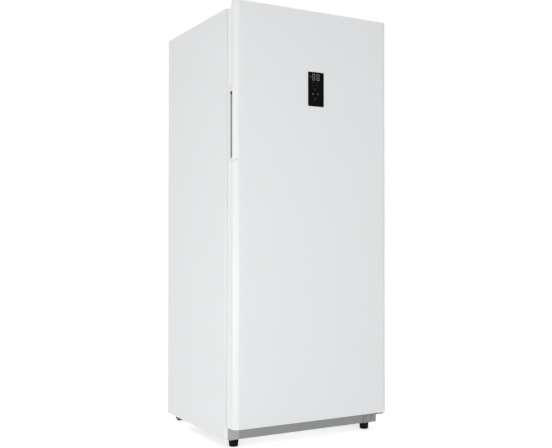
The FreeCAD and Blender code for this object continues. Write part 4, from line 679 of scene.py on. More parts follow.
class FREEZER_OT_door_skin(bpy.types.Operator):
    """Painted sheet wrapped round both front corners, open for display, handle and hinge"""
    bl_idname = "freezer.door_skin"
    bl_label = "Door skin"

    def execute(self, context):
        s = sizes()
        low, high = node_box("door_skin")
        half, corner = high[0], s.door_corner * MM
        wrap = high[1] - FRONT - 0.4
        shoulder = node_box("door_top_cap")[1][2] - SHOULDER_DROP
        # across: from the left edge's patches, which end at the depth first, over the front and round the
        # right corner to the wrap
        first = 1.8
        left_arc = front_corner(half, corner, 14)
        start_x = -skin_side(first, corner, half)
        front_part = left_arc[left_arc[:, 1] < first - 0.2]
        right_arc = (left_arc * [-1, 1])[::-1]
        right_cut = [[float(skin_side(RECESS_FRONT, corner, half)), RECESS_FRONT]]
        right_near = right_arc[right_arc[:, 1] < RECESS_FRONT - 0.3]
        right_far = right_arc[right_arc[:, 1] > RECESS_FRONT + 0.3]
        glass_low, glass_high = node_box("display_glass")
        gap, margin = 0.25, 14.0
        window = [(glass_low[i] - gap, glass_high[i] + gap) for i in (0, 2)]
        frame_x, frame_z = ((near - margin, far + margin) for near, far in window)
        flat = half - corner - 0.6
        middle = np.array([[x, 0.0] for x in (-flat, -200, -120, frame_x[0], frame_x[1], 120, 200)])
        recess_x = half - RECESS_WIDTH
        across = np.concatenate([[[start_x, first]], front_part, middle, [[recess_x, 0.0], [flat, 0.0]],
                                 right_near, right_cut, right_far, [[half, wrap]]])
        ends = bow_ends(first, END_GAP)
        up = np.array([low[2], 400.0, 700.0, ends[0], frame_z[0], ends[1], frame_z[1], 1350.0, shoulder,
                       high[2]])
        grid = self.sheet(across, up[:, None])
        faces = grid_faces(*grid.shape[:2])
        row, column = np.divmod(np.arange(len(faces)), len(across) - 1)
        x_mid = (across[:-1, 0] + across[1:, 0])[column] / 2
        f_mid = (across[:-1, 1] + across[1:, 1])[column] / 2
        z_mid = (up[:-1] + up[1:])[row] / 2
        in_frame = (x_mid > frame_x[0]) & (x_mid < frame_x[1])
        in_frame &= (z_mid > frame_z[0]) & (z_mid < frame_z[1])
        in_recess = (x_mid > recess_x) & (f_mid > RECESS_FRONT) & (z_mid > shoulder)
        points = [grid.reshape(-1, 3)]
        blocks = [faces[~(in_frame | in_recess)]]
        count = grid.size // 3
        # round the window: loops from its rounded outline to the rectangle left open for it
        inner = rounded_outline(*window, s.display_corner * MM + gap)
        outer = rounded_outline(frame_x, frame_z, 0.02)
        ring = np.array([placed(inner + (outer - inner) * t, FRONT, "y") for t in (0, 1)])
        points.append(ring.reshape(-1, 3))
        blocks.append(grid_faces(*ring.shape[:2], close_columns=True) + count)
        count += ring.size // 3
        # the left edge below and above the handle: rows end on the handle's bowed ends
        side = np.concatenate([[[-half, wrap]], left_arc[left_arc[:, 1] > first + 0.3], [[start_x, first]]])
        side_ends = bow_ends(side[:, 1], END_GAP)
        for z0, z1, rows in ((np.full(len(side), low[2]), side_ends[0], up[up <= ends[0]]),
                             (side_ends[1], np.full(len(side), high[2]), up[up >= ends[1]])):
            share = ((rows - rows[0]) / (rows[-1] - rows[0]))[:, None]
            patch = self.sheet(side, z0 + (z1 - z0) * share)
            points.append(patch.reshape(-1, 3))
            blocks.append(grid_faces(*patch.shape[:2]) + count)
            count += patch.size // 3
        make_piece("door_skin_panel", [(np.concatenate(points), blocks)], "door", "white_enamel",
                   ["door_skin"], facing=outward, wall=s.skin_gauge * MM, merge=0.03)
        return {"FINISHED"}

    def sheet(self, across, z):
        """The grid of points over a run of (x, f), row by row at the heights z."""
        return np.stack(np.broadcast_arrays(across[None, :, 0], FRONT + across[None, :, 1], z), -1)


class FREEZER_OT_door_caps(bpy.types.Operator):
    """Moulded caps on the door's ends: raised lip with the hinge recess above, plain cap below"""
    bl_idname = "freezer.door_caps"
    bl_label = "Door caps"

    def execute(self, context):
        r, corner = sizes().cap_round * MM, sizes().door_corner * MM
        low, high = node_box("door_top_cap")
        half, rear = high[0], high[1]
        shoulder, wrap = high[2] - SHOULDER_DROP, FRONT + SKIN_WRAP
        recess, recess_x = FRONT + RECESS_FRONT, half - RECESS_WIDTH
        left = front_corner(half, corner, 11) + [0, FRONT]
        mirrored = (left * [-1, 1])[::-1]
        cut_x = float(skin_side(RECESS_FRONT, corner, half))
        # only the recess's inner corner is eased: an inset as large as an outer corner would cross itself
        inner = eased([[recess_x + 5.0, recess], [recess_x, recess], [recess_x, recess + 5.0]], 1.2, 3)[4:-4]
        lip = np.concatenate([[[-half, wrap]], left, mirrored[mirrored[:, 1] < recess - 4.0],
                              [[cut_x, recess]], inner, [[recess_x, wrap]]])
        whole = np.concatenate([[[-half, wrap]], left, mirrored, [[half, wrap]]])
        tail = ((-half, half), (wrap + 0.02, rear), 2.2)

        def rolled(end, way):
            """The cap's rolled edge at one end, as (inset, height) from the edge inwards."""
            return [(0.0, end - way * r), (0.3 * r, end - way * 0.3 * r), (r, end)]

        roof = [(STEP_IN, shoulder), (STEP_IN, high[2] - 2.05), (0.0, high[2] - 2.0), *rolled(high[2], 1)]
        body = [(STEP_IN, low[2]), (STEP_IN, shoulder - 0.05)]
        tail_top = [(0.4, low[2]), (0.0, low[2] + 0.4), *rolled(shoulder, 1)]
        make_piece("door_cap_upper", [self.slab(lip, roof), carried(*tail, tail_top, "z"),
                                      self.slab(whole, body)], "door", "door_edge_plastic", ["door_top_cap"])
        low, high = node_box("door_bottom_cap")
        foot = rolled(low[2], -1)[::-1]
        skirt = foot + [(0.0, low[2] + 1.95), (STEP_IN, low[2] + 2.0), (STEP_IN, high[2])]
        tail_low = foot + [(0.0, high[2] - 0.4), (0.4, high[2])]
        make_piece("door_cap_lower", [self.slab(whole, skirt), carried(*tail, tail_low, "z")],
                   "door", "door_edge_plastic", ["door_bottom_cap"])
        return {"FINISHED"}

    def slab(self, outline, profile):
        """An outline drawn in and raised along a profile of (inset, height)."""
        return lofted(raised(lambda inset: drawn_in(outline, inset), profile, "z"))


class FREEZER_OT_door_edges(bpy.types.Operator):
    """Plastic edge strips behind both sides of the skin, turned in to carry the seal"""
    bl_idname = "freezer.door_edges"
    bl_label = "Door edge strips"

    def execute(self, context):
        low, high = node_box("door_side_strips")
        half, rear = high[0], high[1] - FRONT
        tongue, inside, flange = half - 1.4, half - 3.4, half - 38.0
        start, step = SKIN_WRAP - 6.0, SKIN_WRAP + sizes().seam * MM - 0.4
        # across: tongue behind the skin's edge, step, outer face, rolled corner, rear face turned in
        run = np.concatenate([
            [[tongue, start], [tongue, step]],
            eased([[tongue, step], [half, step], [half, rear], [flange, rear], [flange, rear - 2.5],
                   [inside, rear - 2.5], [inside, start]], [0, 0.5, 3.0, 0.3, 0.3, 1.0, 0], 5)[5:]])
        ends = bow_ends(run[:, 1], END_GAP)
        spans = ((1, low[2], high[2]), (-1, low[2], ends[0]), (-1, ends[1], high[2]))
        shells = [lofted([placed(run * [side, 1] + [0, FRONT], z, "z") for z in (z0, z1)])
                  for side, z0, z1 in spans]
        make_piece("door_edge_strips", shells, "door", "door_edge_plastic", ["door_side_strips"], crease=30)
        return {"FINISHED"}


class FREEZER_OT_handle(bpy.types.Operator):
    """Moulding let into the door's left edge: bowed ends, rolled mouth and the pocket for the fingers"""
    bl_idname = "freezer.handle"
    bl_label = "Handle"

    def ring(self, f0, f1, z0, z1, slant, round_corner):
        """A loop of (f, z) with equal counts on its four sides, its two corners at each end rolled by
        the edge-roll formula; the top falls by the slant from the front side to the rear side."""
        f = f0 + (f1 - f0) * ACROSS
        roll = edge_roll(f, f0, f1, round_corner)
        return self.closed(np.stack([f, z0 + roll], -1), np.stack([f, z1 - slant * ACROSS - roll], -1))

    def closed(self, bottom, top):
        """A loop along the bottom, up the rear side, back along the top and down the front side."""
        share = UPWARD[:, None]
        rear = bottom[-1] + (top[-1] - bottom[-1]) * share
        near = top[0] + (bottom[0] - top[0]) * share
        return np.concatenate([bottom, rear, top[::-1], near])

    def shrunk(self, loop, distance):
        """The loop drawn in by a distance, towards the middle of its own width and height."""
        middle = (loop.min(0) + loop.max(0)) / 2
        reach = (loop.max(0) - loop.min(0)) / 2
        return middle + (loop - middle) * (1 - distance / reach)

    def on_plane(self, loop, x):
        """The loop's points, (f, z), on the upright plane at x."""
        return np.stack([np.full(len(loop), x), FRONT + loop[:, 0], loop[:, 1]], -1)

    def execute(self, context):
        s = sizes()
        low, high = node_box("handle_insert")
        half, corner, roll = -low[0], s.door_corner * MM, s.slot_round * MM
        f0, f1 = low[1] - FRONT, high[1] - FRONT
        f = f0 + (f1 - f0) * ACROSS
        z_low, z_high = bow_ends(f)
        rim = self.closed(np.stack([f, z_low], -1), np.stack([f, z_high], -1))
        z0, z1 = low[2] + 15.0, high[2] - 15.0
        mouth = self.ring(SLOT_FRONT, SLOT_REAR, z0, z1, 3.0, 3.0)
        lip = self.ring(SLOT_FRONT - roll, SLOT_REAR + roll, z0 - roll, z1 + roll, 3.0, 3.0 + roll)
        pocket = self.ring(10.0, SLOT_REAR, z0, z1, 0.0, 3.0)
        # x of the pocket's outer wall, of its floor and of the cup's rim
        deep, floor, shallow = -half + 10.0, -half + 34.0, -half + 3.0

        def on_skin(loop, depth=0.0):
            x = -skin_side(loop[:, 0], corner, half) + depth
            return np.stack([x, FRONT + loop[:, 0], loop[:, 1]], -1)

        # the groove round the moulding, wider and deeper along the lower end
        edge = 0.5 + 1.6 * (np.arange(len(rim)) < len(f))
        inner_rim = rim + (lip - rim) * np.clip(edge / 12.0, 0, 1)[:, None]
        loops = [self.on_plane(rim, high[0]), self.on_plane(rim, -half + 12.0), on_skin(rim, edge),
                 on_skin(rim + (lip - rim) * 0.012, edge * 0.8), on_skin(inner_rim)]
        loops += [on_skin(inner_rim + (lip - inner_rim) * k) for k in (0.15, 0.3, 0.45, 0.6, 0.75, 0.9, 1)]
        loops += [on_skin(lip + (mouth - lip) * math.sin(a), roll * (1 - math.cos(a)))
                  for a in quarter(5)[1:]]
        loops += [self.on_plane(mouth, deep), self.on_plane(pocket, deep), self.on_plane(pocket, high[0])]
        make_piece("handle_moulding", [lofted(loops, ring=True)], "door", "white_plastic", ["handle_insert"],
                   look="handle", crease=32)
        # the cup: inside the moulding's hole, half a millimetre thick, closed towards the door's middle; its
        # grey is painted shade inside the finger slot
        cup = [self.on_plane(self.shrunk(loop, gap), x) for loop, gap, x in (
            (pocket, 2.5, floor - 0.6), (pocket, 0.6, floor - 2.4), (pocket, 0.6, deep + 0.6),
            (mouth, 0.6, deep + 0.5), (mouth, 0.6, shallow + 0.2), (mouth, 0.05, shallow),
            (mouth, 0.05, deep + 0.05), (pocket, 0.05, deep + 0.1), (pocket, 0.05, floor))]
        make_piece("handle_cup", [lofted(cup)], "door", "white_plastic", look="handle_cup", crease=32)
        # a grey strip laid in the lower end's groove: painted shade along the moulding's lower seam
        run = np.linspace(f0 + 0.6, f1 - 0.6, 21)[:, None]
        across = np.array([[0.9, 0.1], [2.4, 0.1], [2.4, 2.0], [0.9, 2.0]])
        cord = np.stack([-skin_side(run, corner, half) + across[:, 0], np.broadcast_to(FRONT + run, (21, 4)),
                         bow_ends(run)[0] + across[:, 1]], -1)
        make_piece("handle_lower_painted_shade", [lofted(cord)], "door", "black_plastic", look="lower_seam_painted_shade")
        # a black block at the slot's upper end: painted shade for the shadow under the slot's roof
        stop = soft_block((-half + 0.9, -half + 8.6), (FRONT + SLOT_FRONT + 0.2, FRONT + SLOT_REAR - 0.3),
                          (z1 - 10.5, z1 - 0.4), 0.5, 1.2, "x", 3)
        make_piece("handle_slot_top_painted_shade", [stop], "door", "black_plastic")
        return {"FINISHED"}


class FREEZER_OT_display(bpy.types.Operator):
    """Display glass with its unlit segment digits and indicator marks"""
    bl_idname = "freezer.display"
    bl_label = "Display"

    PRINT = (0.02, 0.1)      # the print's front and back, behind the door's front plane

    def bar(self, centre, half_length, half_width, upright):
        """One segment: a bar with pointed ends."""
        u = np.array([-half_length, half_width - half_length, half_length - half_width, half_length,
                      half_length - half_width, half_width - half_length])
        v = np.array([0, half_width, half_width, 0, -half_width, -half_width])
        flat = np.stack([v, u] if upright else [u, v], -1) + centre
        return lofted([placed(flat, FRONT + h, "y") for h in self.PRINT])

    def digit(self, centre):
        """A seven-segment figure 8: top, upper left, upper right, middle, lower left, lower right,
        bottom."""
        # half the figure's height and width, and half a bar's width
        h, w, k = sizes().digit_height * MM / 2, 5.6, sizes().digit_stroke * MM / 2
        places = [((0, h - k), False), ((-w + k, h / 2), True), ((w - k, h / 2), True), ((0, 0), False),
                  ((-w + k, -h / 2), True), ((w - k, -h / 2), True), ((0, k - h), False)]
        return [self.bar(np.array(centre) + place, (h / 2 if upright else w - k) - 0.7, k, upright)
                for place, upright in places]

    def disc(self, centre, outer, inner=0.0):
        """A round dot, or a ring where it has an inner radius."""
        a = np.linspace(0, 2 * np.pi, 24, endpoint=False)
        flat = np.stack([np.cos(a), np.sin(a)], -1)
        front, back = self.PRINT
        profile = [(outer, back), (outer, front), (inner, front), (inner, back)] if inner else [
            (outer, front), (outer, back)]
        return lofted([placed(flat * r + centre, FRONT + h, "y") for r, h in profile], ring=inner > 0)

    def execute(self, context):
        low, high = node_box("display_glass")
        face = FRONT + self.PRINT[1]
        profile = [(0.0, high[1]), (0.0, face + 0.5), (0.12, face + 0.15), (0.4, face)]
        pane = carried((low[0], high[0]), (low[2], high[2]), sizes().display_corner * MM, profile, "y")
        make_piece("display_pane", [pane], "door", "display_glass", ["display_glass"])
        # every mark's place is counted from the glass's middle
        x, z = ((low + high) / 2)[[0, 2]]
        digits = [self.bar((x - 21.5, z + 41.4), 3.0, 1.2, False)]
        digits += self.digit((x - 8.8, z + 40.7)) + self.digit((x + 8.2, z + 40.7))
        digits += [self.disc((x - 11.2, z - 16.3), 2.3), self.disc((x + 8.2, z - 15.3), 2.2)]
        make_piece("display_digits", digits, "door", "display_glass", look="digits")
        marks = [self.bar((x + u, z + v), 3.2, 0.6, False) for v in (21.4, 11.3) for u in (-12.6, 4.4)]
        marks += [self.disc((x - 4.6, z - 1.3), 3.4, 2.5), self.disc((x - 2.6, z - 33.8), 3.6, 2.8),
                  self.bar((x - 2.6, z - 31.9), 1.9, 0.5, True)]
        make_piece("display_marks", marks, "door", "display_glass", look="marks")
        return {"FINISHED"}


# ---- the door's inside -----------------------------------------------------------------------------------


class FREEZER_OT_door_seal(bpy.types.Operator):
    """Bellows seal, mitred at the corners, with its flat magnet face towards the cabinet"""
    bl_idname = "freezer.door_seal"
    bl_label = "Door seal"

    def execute(self, context):
        low, high = node_box("door_gasket")
        section = eased([(1, 54), (3, 55.4), (0.4, 57), (2.4, 58.4), (0, 59.8), (0, 64.7), (15, 64.7),
                         (15, 59.8), (12.6, 58.4), (14.6, 57), (12, 55.4), (14, 54)],
                        [0.2, 0.8, 0.8, 0.8, 0.8, 1.2, 1.2, 0.8, 0.8, 0.8, 0.8, 0.2], 4, closed=True)
        seal = carried((low[0], high[0]), (low[2], high[2]), 15.5, section + [0, FRONT], "y", 3, ring=True)
        make_piece("door_seal_bellows", [seal], "door", "white_seal", ["door_gasket"])
        return {"FINISHED"}


class FREEZER_OT_door_inside(bpy.types.Operator):
    """Formed inner panel of the door: plate, rounded rib round the bins and the lugs that carry them"""
    bl_idname = "freezer.door_inside"
    bl_label = "Door inner panel"

    def execute(self, context):
        r = sizes().dyke_round * MM
        low, high = node_box("door_liner")
        rib_height, gauge = 41.0, 2.5
        top, rear = high[1] - FRONT, high[1] - FRONT - rib_height
        plate = soft_block((low[0], high[0]), (FRONT + rear - gauge, FRONT + rear), (low[2], high[2]), 0.4,
                           3.0, "y", 2)
        # the rib's section: draft of 1 degree outside and inside, foot rolled out, crest rolled over
        section = eased([(-5, rear - 0.1), (0, rear - 0.1), (0.8, top), (13.2, top), (14, rear - 0.1),
                         (19, rear - 0.1), (19, rear - 1.0), (-5, rear - 1.0)],
                        [0.1, 4.0, r, r, 4.0, 0.1, 0.1, 0.1], 5, closed=True)
        rib = carried((-230, 230), (low[2] + 37, high[2] - 38), 24.0, section + [0, FRONT], "y", 8, ring=True)
        lugs = [soft_block(x, (FRONT + rear + 8, FRONT + rear + 38), (level - 8, level), 0.9, 1.0, "z", 3)
                for level in self.lug_tops() for x in both_sides(212.7, 217.5)]
        make_piece("door_inner_moulding", [plate, rib, *lugs], "door", "liner_plastic", ["door_liner"],
                   crease=34)
        return {"FINISHED"}

    def lug_tops(self):
        return [node_box(f"door_bin_{i}")[0][2] + 64.7 for i in range(1, 5)]


def tub_profile(low, high, wall, foot=3.0, lip=1.4):
    """The section of an open tub from the middle of its underside, out and up the wall, over a
    thickened lip and down to the floor inside."""
    return eased([(12.0, low), (0.0, low), (0.0, high), (wall + lip, high), (wall + lip, high - 3.5),
                  (wall, high - 5.0), (wall, low + wall), (12.0 + wall, low + wall)],
                 [0, foot, 0.9, 0.9, 0.5, 1.5, foot, 0])


class FREEZER_OT_door_bins(bpy.types.Operator):
    """Four clear bins with rounded corners, thickened lips and the ears that hang on the lugs"""
    bl_idname = "freezer.door_bins"
    bl_label = "Door bins"

    def execute(self, context):
        corner = sizes().bin_corner * MM
        wall, ear_low, ear_high = 2.5, 65.0, 69.0      # the ears' heights above the bin's underside
        for number in range(1, 5):
            low, high = node_box(f"door_bin_{number}")
            x, y = (low[0] + 3, high[0] - 3), (low[1], high[1])
            shells = [carried(x, y, corner, tub_profile(low[2], high[2], wall), "z", 8)]
            shells += [soft_block(ear, (y[0] + 6, y[0] + 36), (low[2] + ear_low, low[2] + ear_high), 0.7,
                                  1.0, "z", 3) for ear in both_sides(x[1] - 1.0, high[0])]
            # three finger ribs pressed into the front wall
            for k in range(3):
                z, reach = low[2] + 62 + 8 * k, 150 - 14 * k
                shells.append(soft_block((-reach, reach), (y[1] - 1.2, y[1] - 0.02), (z, z + 2.4), 0.5, 0.6,
                                         "y", 3))
            make_piece(f"door_bin_tub_{number}", shells, f"door_bin_{number}", "clear_plastic",
                       [f"door_bin_{number}"])
        return {"FINISHED"}


# ---- the cabinet -----------------------------------------------------------------------------------------


class FREEZER_OT_side_sheets(bpy.types.Operator):
    """Both painted side sheets, bent round to a flange in front and behind"""
    bl_idname = "freezer.side_sheets"
    bl_label = "Side sheets"

    def execute(self, context):
        bend, fold, rear_flange, gauge = sizes().sheet_bend * MM, 2.4, 15.0, 0.8
        turn = quarter(8)
        arc = np.stack([np.sin(turn), -np.cos(turn)], -1)
        for side, word in ((-1, "left"), (1, "right")):
            low, high = node_box(f"side_panel_{word}")
            inner, outer = sorted((abs(low[0]), abs(high[0])))
            # flange, front bend, side, rear fold and its flange: both bends are quarter circles
            run = np.concatenate([[[inner, low[1]]], arc * bend + [outer - bend, low[1] + bend],
                                  arc[::-1] * [fold, -fold] + [outer - fold, high[1] - fold],
                                  [[outer - rear_flange, high[1]]]]) * [side, 1]
            loops = [placed(run, z, "z") for z in np.linspace(low[2], high[2], 5)]
            make_piece(f"side_sheet_{word}", [lofted(loops, low_cap=False, high_cap=False, open_loops=True)],
                       "cabinet", "white_enamel", [f"side_panel_{word}"], facing=outward, wall=gauge)
        return {"FINISHED"}


def shelf_levels():
    """The underside of each glass shelf, from the lowest up."""
    return node_box("glass_shelves")[0][2] + np.array([0.0, 205.0, 420.0, 635.0, 850.0])


class FREEZER_OT_foot_ends(bpy.types.Operator):
    """Grey plates on both front flanges, beside the rail across the foot, in a lighter grey than the rail:
    painted light
    """
    bl_idname = "freezer.foot_ends"
    bl_label = "Foot ends"

    def execute(self, context):
        height, thickness, sunk = 51.0, 0.45, 0.2      # of a plate, and how far it sits in the flange
        low, high = node_box("front_rail")
        outer = node_box("side_panel_right")[1][0] - sizes().sheet_bend * MM
        for name, x in zip(("foot_end_left", "foot_end_right"), both_sides(high[0] + 0.4, outer)):
            plate = soft_block(x, (low[1] - thickness, low[1] + sunk), (low[2] + 0.2, low[2] + height),
                               0.25, 1.2, "y", 3)
            make_piece(name, [plate], "cabinet", "grey_enamel", look=name)
        return {"FINISHED"}


class FREEZER_OT_cold_room(bpy.types.Operator):
    """Formed liner of the cold room with its long rounded corners, the step and the shelf ledges"""
    bl_idname = "freezer.cold_room"
    bl_label = "Cold room"

    def execute(self, context):
        low, high = node_box("inner_liner")
        face, rear = low[1], high[1]
        r = sizes().room_corner * MM
        half, floor, ceiling = high[0] - 9, low[2] + 4, high[2] - 9
        step_y, step_low, step_high = face + 262.0, low[2] + 162.0, low[2] + 212.0
        # the floor from front to rear, (y, z): level, up the step over the machine room, sloped, level
        floor_run = eased([(face + 5.0, floor), (step_y, floor), (step_y, step_low),
                           (step_y + 50, step_high), (rear - 0.2, step_high)], [0, 14, 10, 14, 0], 6)
        loops = [placed(rounded_outline((low[0], high[0]), (low[2], high[2]), 6.0), face, "y")]
        # the front flange and its rolled edge, a quarter of an ellipse
        for angle in np.array([0.0, 0.35, 0.7, 1.0]) * np.pi / 2:
            wide = 1 - math.sin(angle)
            shape = rounded_outline((-half - 6 * wide, half + 6 * wide),
                                    (floor - 2.5 * wide, ceiling + 6 * wide), r + 4 * wide)
            loops.append(placed(shape, face + 5.0 * (1 - math.cos(angle)), "y"))
        loops += [placed(rounded_outline((-half, half), (z, ceiling), r), y, "y") for y, z in floor_run[1:]]
        room = lofted(loops, low_cap=False, high_cap=True)
        centre = Vector((0, (face + rear) / 2 / MM, 0.8))
        make_piece("cold_room_liner", [room], "cabinet", "liner_plastic", ["inner_liner"], crease=34,
                   wall=1.4, facing=lambda point: centre - point)
        # the lowest shelf's ledges end at the step, the others at the evaporator's cover
        ends = [step_y] + [node_box("evaporator_cover")[0][1]] * 4
        ledges = [soft_block(x, (face + 120, end), (level - 6, level - 0.05), 1.6, 2.0)
                  for level, end in zip(shelf_levels(), ends) for x in both_sides(half - 10, half + 1)]
        make_piece("shelf_ledges", ledges, "cabinet", "liner_plastic")
        return {"FINISHED"}


class FREEZER_OT_shelves(bpy.types.Operator):
    """Glass shelves with ground edges, and the moulded trims that grip their front edges"""
    bl_idname = "freezer.shelves"
    bl_label = "Shelves"

    def execute(self, context):
        low, high = node_box("glass_shelves")
        (x0, y0, _), (x1, y1, _) = node_box("shelf_trims")
        radii = [2.4, 0.4, 0.2, 0.1, 0.1, 0.2, 0.4, sizes().trim_round * MM]
        glass, trims = [], []
        for level in shelf_levels():
            glass.append(soft_block((low[0], high[0]), (low[1] - 5, high[1]), (level, level + 4), 0.8, 3.0,
                                    "z", 3))
            # the trim's section: a channel round the pane's front edge, open to the rear
            under, over = level - 0.05, level + 4.05
            section = eased([(y0, level - 4), (y1 + 6, level - 4), (y1 + 6, under), (y1, under), (y1, over),
                             (y1 + 6, over), (y1 + 6, level + 5), (y0, level + 5)], radii, closed=True)
            trims.append(lofted([placed(section, x, "x") for x in (x0, x1)]))
        make_piece("shelf_panes", glass, "cabinet", "shelf_glass", ["glass_shelves"])
        make_piece("shelf_front_trims", trims, "cabinet", "white_plastic", ["shelf_trims"], crease=30)
        return {"FINISHED"}


class FREEZER_OT_drawers(bpy.types.Operator):
    """Both clear drawers: rounded tub, side flanges and a face with a scooped finger grip"""
    bl_idname = "freezer.drawers"
    bl_label = "Drawers"

    def execute(self, context):
        corner = sizes().drawer_corner * MM
        x, face_x, edge = 226.0, 236.0, 4.0      # half widths of tub and face, and the face's edge radius
        for name in ("lower", "upper"):
            low, high = node_box(f"{name}_drawer")
            y0, y1, z0, z1 = low[1], high[1], low[2], high[2]
            back = y0 + 12.0
            tub = tub_profile(z0, z1 - 0.05, 2.5, 5.0)
            shells = [carried((-x, x), (back - 2.0, y1), corner, tub, "z", 8)]
            u = np.unique(np.concatenate([near_edges(-face_x, face_x, edge, 13), np.linspace(-84, 84, 29)]))
            v = np.unique(np.concatenate([near_edges(z0, z1, edge, 8), np.linspace(z1 - 44, z1 - 8, 19)]))
            grid_u, grid_v = np.meshgrid(u, v, indexing="ij")
            # the scoop: a flat-bottomed hollow, its depth the product of two smooth steps
            across = np.clip((78 - np.abs(grid_u)) / 14, 0, 1)
            upright = np.clip((grid_v - z1 + 42) / 16, 0, 1) * np.clip((z1 - 13 - grid_v) / 3, 0, 1)
            scoop = 7.0 * smooth_step(across) * smooth_step(upright)
            roll = edge_roll(grid_u, -face_x, face_x, edge) + edge_roll(grid_v, z0, z1, edge)
            shells.append(relief(u, v, y0 + np.minimum(scoop + roll, 9.0), back, "y"))
            shells += [soft_block(flange, (back, y1), (z1 - 15, z1 - 12), 0.8, 1.2, "z", 3)
                       for flange in both_sides(x - 1.0, high[0])]
            make_piece(f"{name}_drawer_tub", shells, f"{name}_drawer", "clear_plastic", [f"{name}_drawer"],
                       crease=30)
        return {"FINISHED"}


class FREEZER_OT_rear_cover(bpy.types.Operator):
    """Zinc-coated cover of the machine room with pressed-in louvres, each open along its lower edge"""
    bl_idname = "freezer.rear_cover"
    bl_label = "Rear cover"

    def execute(self, context):
        # a louvre's depth, the height of its hood and the length of its rounded ends
        reach, hood, end = sizes().louvre_reach * MM, 10.0, 8.0
        low, high = node_box("machine_cover")
        first_slit, pitch = 30.0, 22.0
        slits = low[2] + first_slit + pitch * np.arange(9)
        x_ends = ((-225.0, -15.0), (15.0, 225.0))
        ease = end * (1 - np.cos(quarter(5)))
        u = np.unique(np.concatenate([[low[0], high[0]]] + [
            np.concatenate([a + ease, b - ease, np.linspace(a + end, b - end, 9)]) for a, b in x_ends]))
        v = np.sort(np.concatenate([[low[2], high[2]], slits,
                                    (slits[:, None] + np.linspace(0, hood, 6)).ravel()]))
        upper = np.concatenate([[0], np.diff(v) == 0]).astype(bool)   # the second row of each slit
        grid_u, grid_v = np.meshgrid(u, v, indexing="ij")
        # a louvre's depth: a smooth step from its slit up to the hood's end, times 1 - (1 - s)^2 across,
        # s the share of the way in from its two ends
        over = grid_v - slits[np.searchsorted(slits, grid_v + 1e-6, side="right").clip(1) - 1]
        across = np.zeros_like(grid_u)
        for a, b in x_ends:
            share = np.clip(np.minimum(grid_u - a, b - grid_u) / end, 0, 1)
            across = np.maximum(across, share * (2 - share))
        pressed = across * smooth_step(np.clip((hood - over) / hood, 0, 1))
        pressed *= (over >= -1e-6) & (over <= hood) & ~((over < 1e-6) & ~upper[None])
        # flat round the hole for the mains lead's bushing
        clear = np.hypot(grid_u + 200.0, grid_v - (low[2] + 51.5))
        pressed *= np.clip((clear - 18) / 8, 0, 1)
        plane = high[1] - 0.02
        points = placed(np.stack([grid_u, grid_v], -1), plane - reach * pressed, "y").reshape(-1, 3)
        faces = grid_faces(*grid_u.shape)
        tall = np.ptp(points[faces][:, :, 2], axis=1) > 1e-6     # the others would close the slits
        make_piece("rear_cover_louvred", [(points, [faces[tall]])], "cabinet", "galvanised_steel",
                   ["machine_cover"], facing=lambda point: Vector((0, 1, 0)), wall=0.7, merge=0.02)
        head = [(0, 0.5), (1.6, 0.9), (1.7, 0.0), (3.4, 0.0), (3.6, -0.6), (3.7, -1.6)]
        screws = [turned(head, (x, high[1] - 0.95, low[2] + z), "y", 24)
                  for x in (-278, 278) for z in (8.5, 122.5, 237.5)]
        make_piece("rear_cover_screws", screws, "cabinet", "zinc_fasteners")
        return {"FINISHED"}


class FREEZER_OT_hinge_cover(bpy.types.Operator):
    """Moulded cover over the upper hinge's arm on the cabinet's top"""
    bl_idname = "freezer.hinge_cover"
    bl_label = "Hinge cover"

    def execute(self, context):
        low, high = node_box("top_hinge_cover")
        section = eased([(0.0, low[2]), (0.0, high[2] - 1.5), (4.0, high[2]), (12.0, high[2])],
                        [0, 1.4, 3.0, 0], 5)
        inside = [(2.0, high[2] - 2.5), (2.0, low[2])]
        shell = carried((low[0], high[0]), (low[1], high[1]), 6.0, inside + section.tolist(), "z", 8)
        make_piece("hinge_cover_shell", [shell], "cabinet", "white_plastic", ["top_hinge_cover"])
        return {"FINISHED"}


class FREEZER_OT_rollers(bpy.types.Operator):
    """Rear rollers with rounded treads and shallow grooves"""
    bl_idname = "freezer.rollers"
    bl_label = "Rear rollers"

    def execute(self, context):
        pitch = sizes().tread_pitch * MM
        for word in ("left", "right"):
            low, high = node_box(f"rear_roller_{word}")
            centre = (low + high) / 2
            half, radius = (high[0] - low[0]) / 2, (high[2] - low[2]) / 2
            h = np.linspace(-half, half, 45)
            # grooves half a millimetre deep and 1.8 mm wide, one every pitch
            groove = 0.5 * np.clip(1 - np.abs((h + pitch * 0.5) % pitch - pitch / 2) / 0.9, 0, 1)
            tread = radius - edge_roll(h, -half, half, 2.5) - groove * (np.abs(h) < half - 3.5)
            cheek = [(3.15, -half + 0.4)] + [(share * radius, -half + depth) for share, depth in (
                (0.42, 0.0), (0.47, 0.0), (0.50, 1.2), (0.72, 1.2), (0.76, 0.0))]
            section = [*cheek, *zip(tread, h), *((r, -x) for r, x in cheek[::-1]), cheek[0]]
            make_piece(f"roller_tread_{word}", [turned(section, centre, "x", 56)], f"roller_{word}",
                       "roller_plastic", [f"rear_roller_{word}"], crease=30)
        return {"FINISHED"}


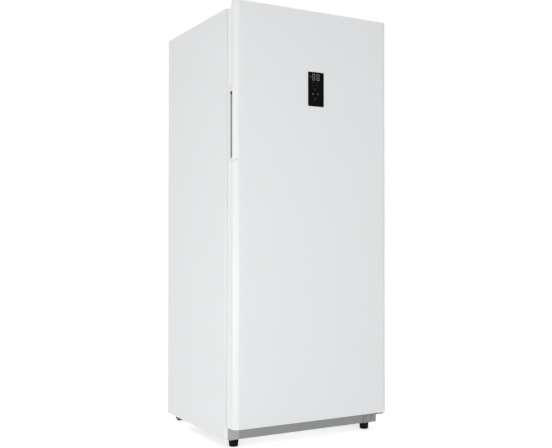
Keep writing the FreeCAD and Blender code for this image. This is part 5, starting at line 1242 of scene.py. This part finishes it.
class FREEZER_OT_frame_finishes(bpy.types.Operator):
    """Finishes for every CAD node that stays in sight"""
    bl_idname = "freezer.frame_finishes"
    bl_label = "Finishes of the frame"

    def execute(self, context):
        slots = {part["node"]: part["material_slot"] for part in frame["record"]["subparts"]}
        for name, node in frame["nodes"].items():
            if node.hide_render:
                continue
            material = finish("dark_enamel" if name == "base_frame" else slots[name])
            for place in node.material_slots:
                place.material = material
            if not node.material_slots:
                raise RuntimeError(f"{name} has no place for a finish")
        return {"FINISHED"}


STEPS = (FREEZER_OT_stage, FREEZER_OT_door_skin, FREEZER_OT_door_caps, FREEZER_OT_door_edges,
         FREEZER_OT_handle, FREEZER_OT_display, FREEZER_OT_door_seal, FREEZER_OT_door_inside,
         FREEZER_OT_door_bins, FREEZER_OT_side_sheets, FREEZER_OT_foot_ends, FREEZER_OT_cold_room,
         FREEZER_OT_shelves, FREEZER_OT_drawers, FREEZER_OT_rear_cover, FREEZER_OT_hinge_cover,
         FREEZER_OT_rollers, FREEZER_OT_frame_finishes)


class FREEZER_PT_sidebar(bpy.types.Panel):
    """Sizes, colours and the pieces in the order they are made"""
    bl_idname = "FREEZER_PT_sidebar"
    bl_label = "Upright Freezer"
    bl_space_type = "VIEW_3D"
    bl_region_type = "UI"
    bl_category = "Freezer"

    def draw(self, context):
        for group in (context.scene.freezer_sizes, context.scene.freezer_colours):
            column = self.layout.column(align=True)
            for name in type(group).__annotations__:
                column.prop(group, name)
        column = self.layout.column()
        for step in STEPS:
            column.operator(step.bl_idname)


CLASSES = (FreezerSizes, FreezerColours, *STEPS, FREEZER_PT_sidebar)


def register():
    for item in CLASSES:
        bpy.utils.register_class(item)
    bpy.types.Scene.freezer_sizes = bpy.props.PointerProperty(type=FreezerSizes)
    bpy.types.Scene.freezer_colours = bpy.props.PointerProperty(type=FreezerColours)


def unregister():
    del bpy.types.Scene.freezer_colours
    del bpy.types.Scene.freezer_sizes
    for item in reversed(CLASSES):
        bpy.utils.unregister_class(item)


def main():
    register()
    for step in STEPS:
        group, name = step.bl_idname.split(".")
        getattr(getattr(bpy.ops, group), name)()


if __name__ == "__main__":
    main()
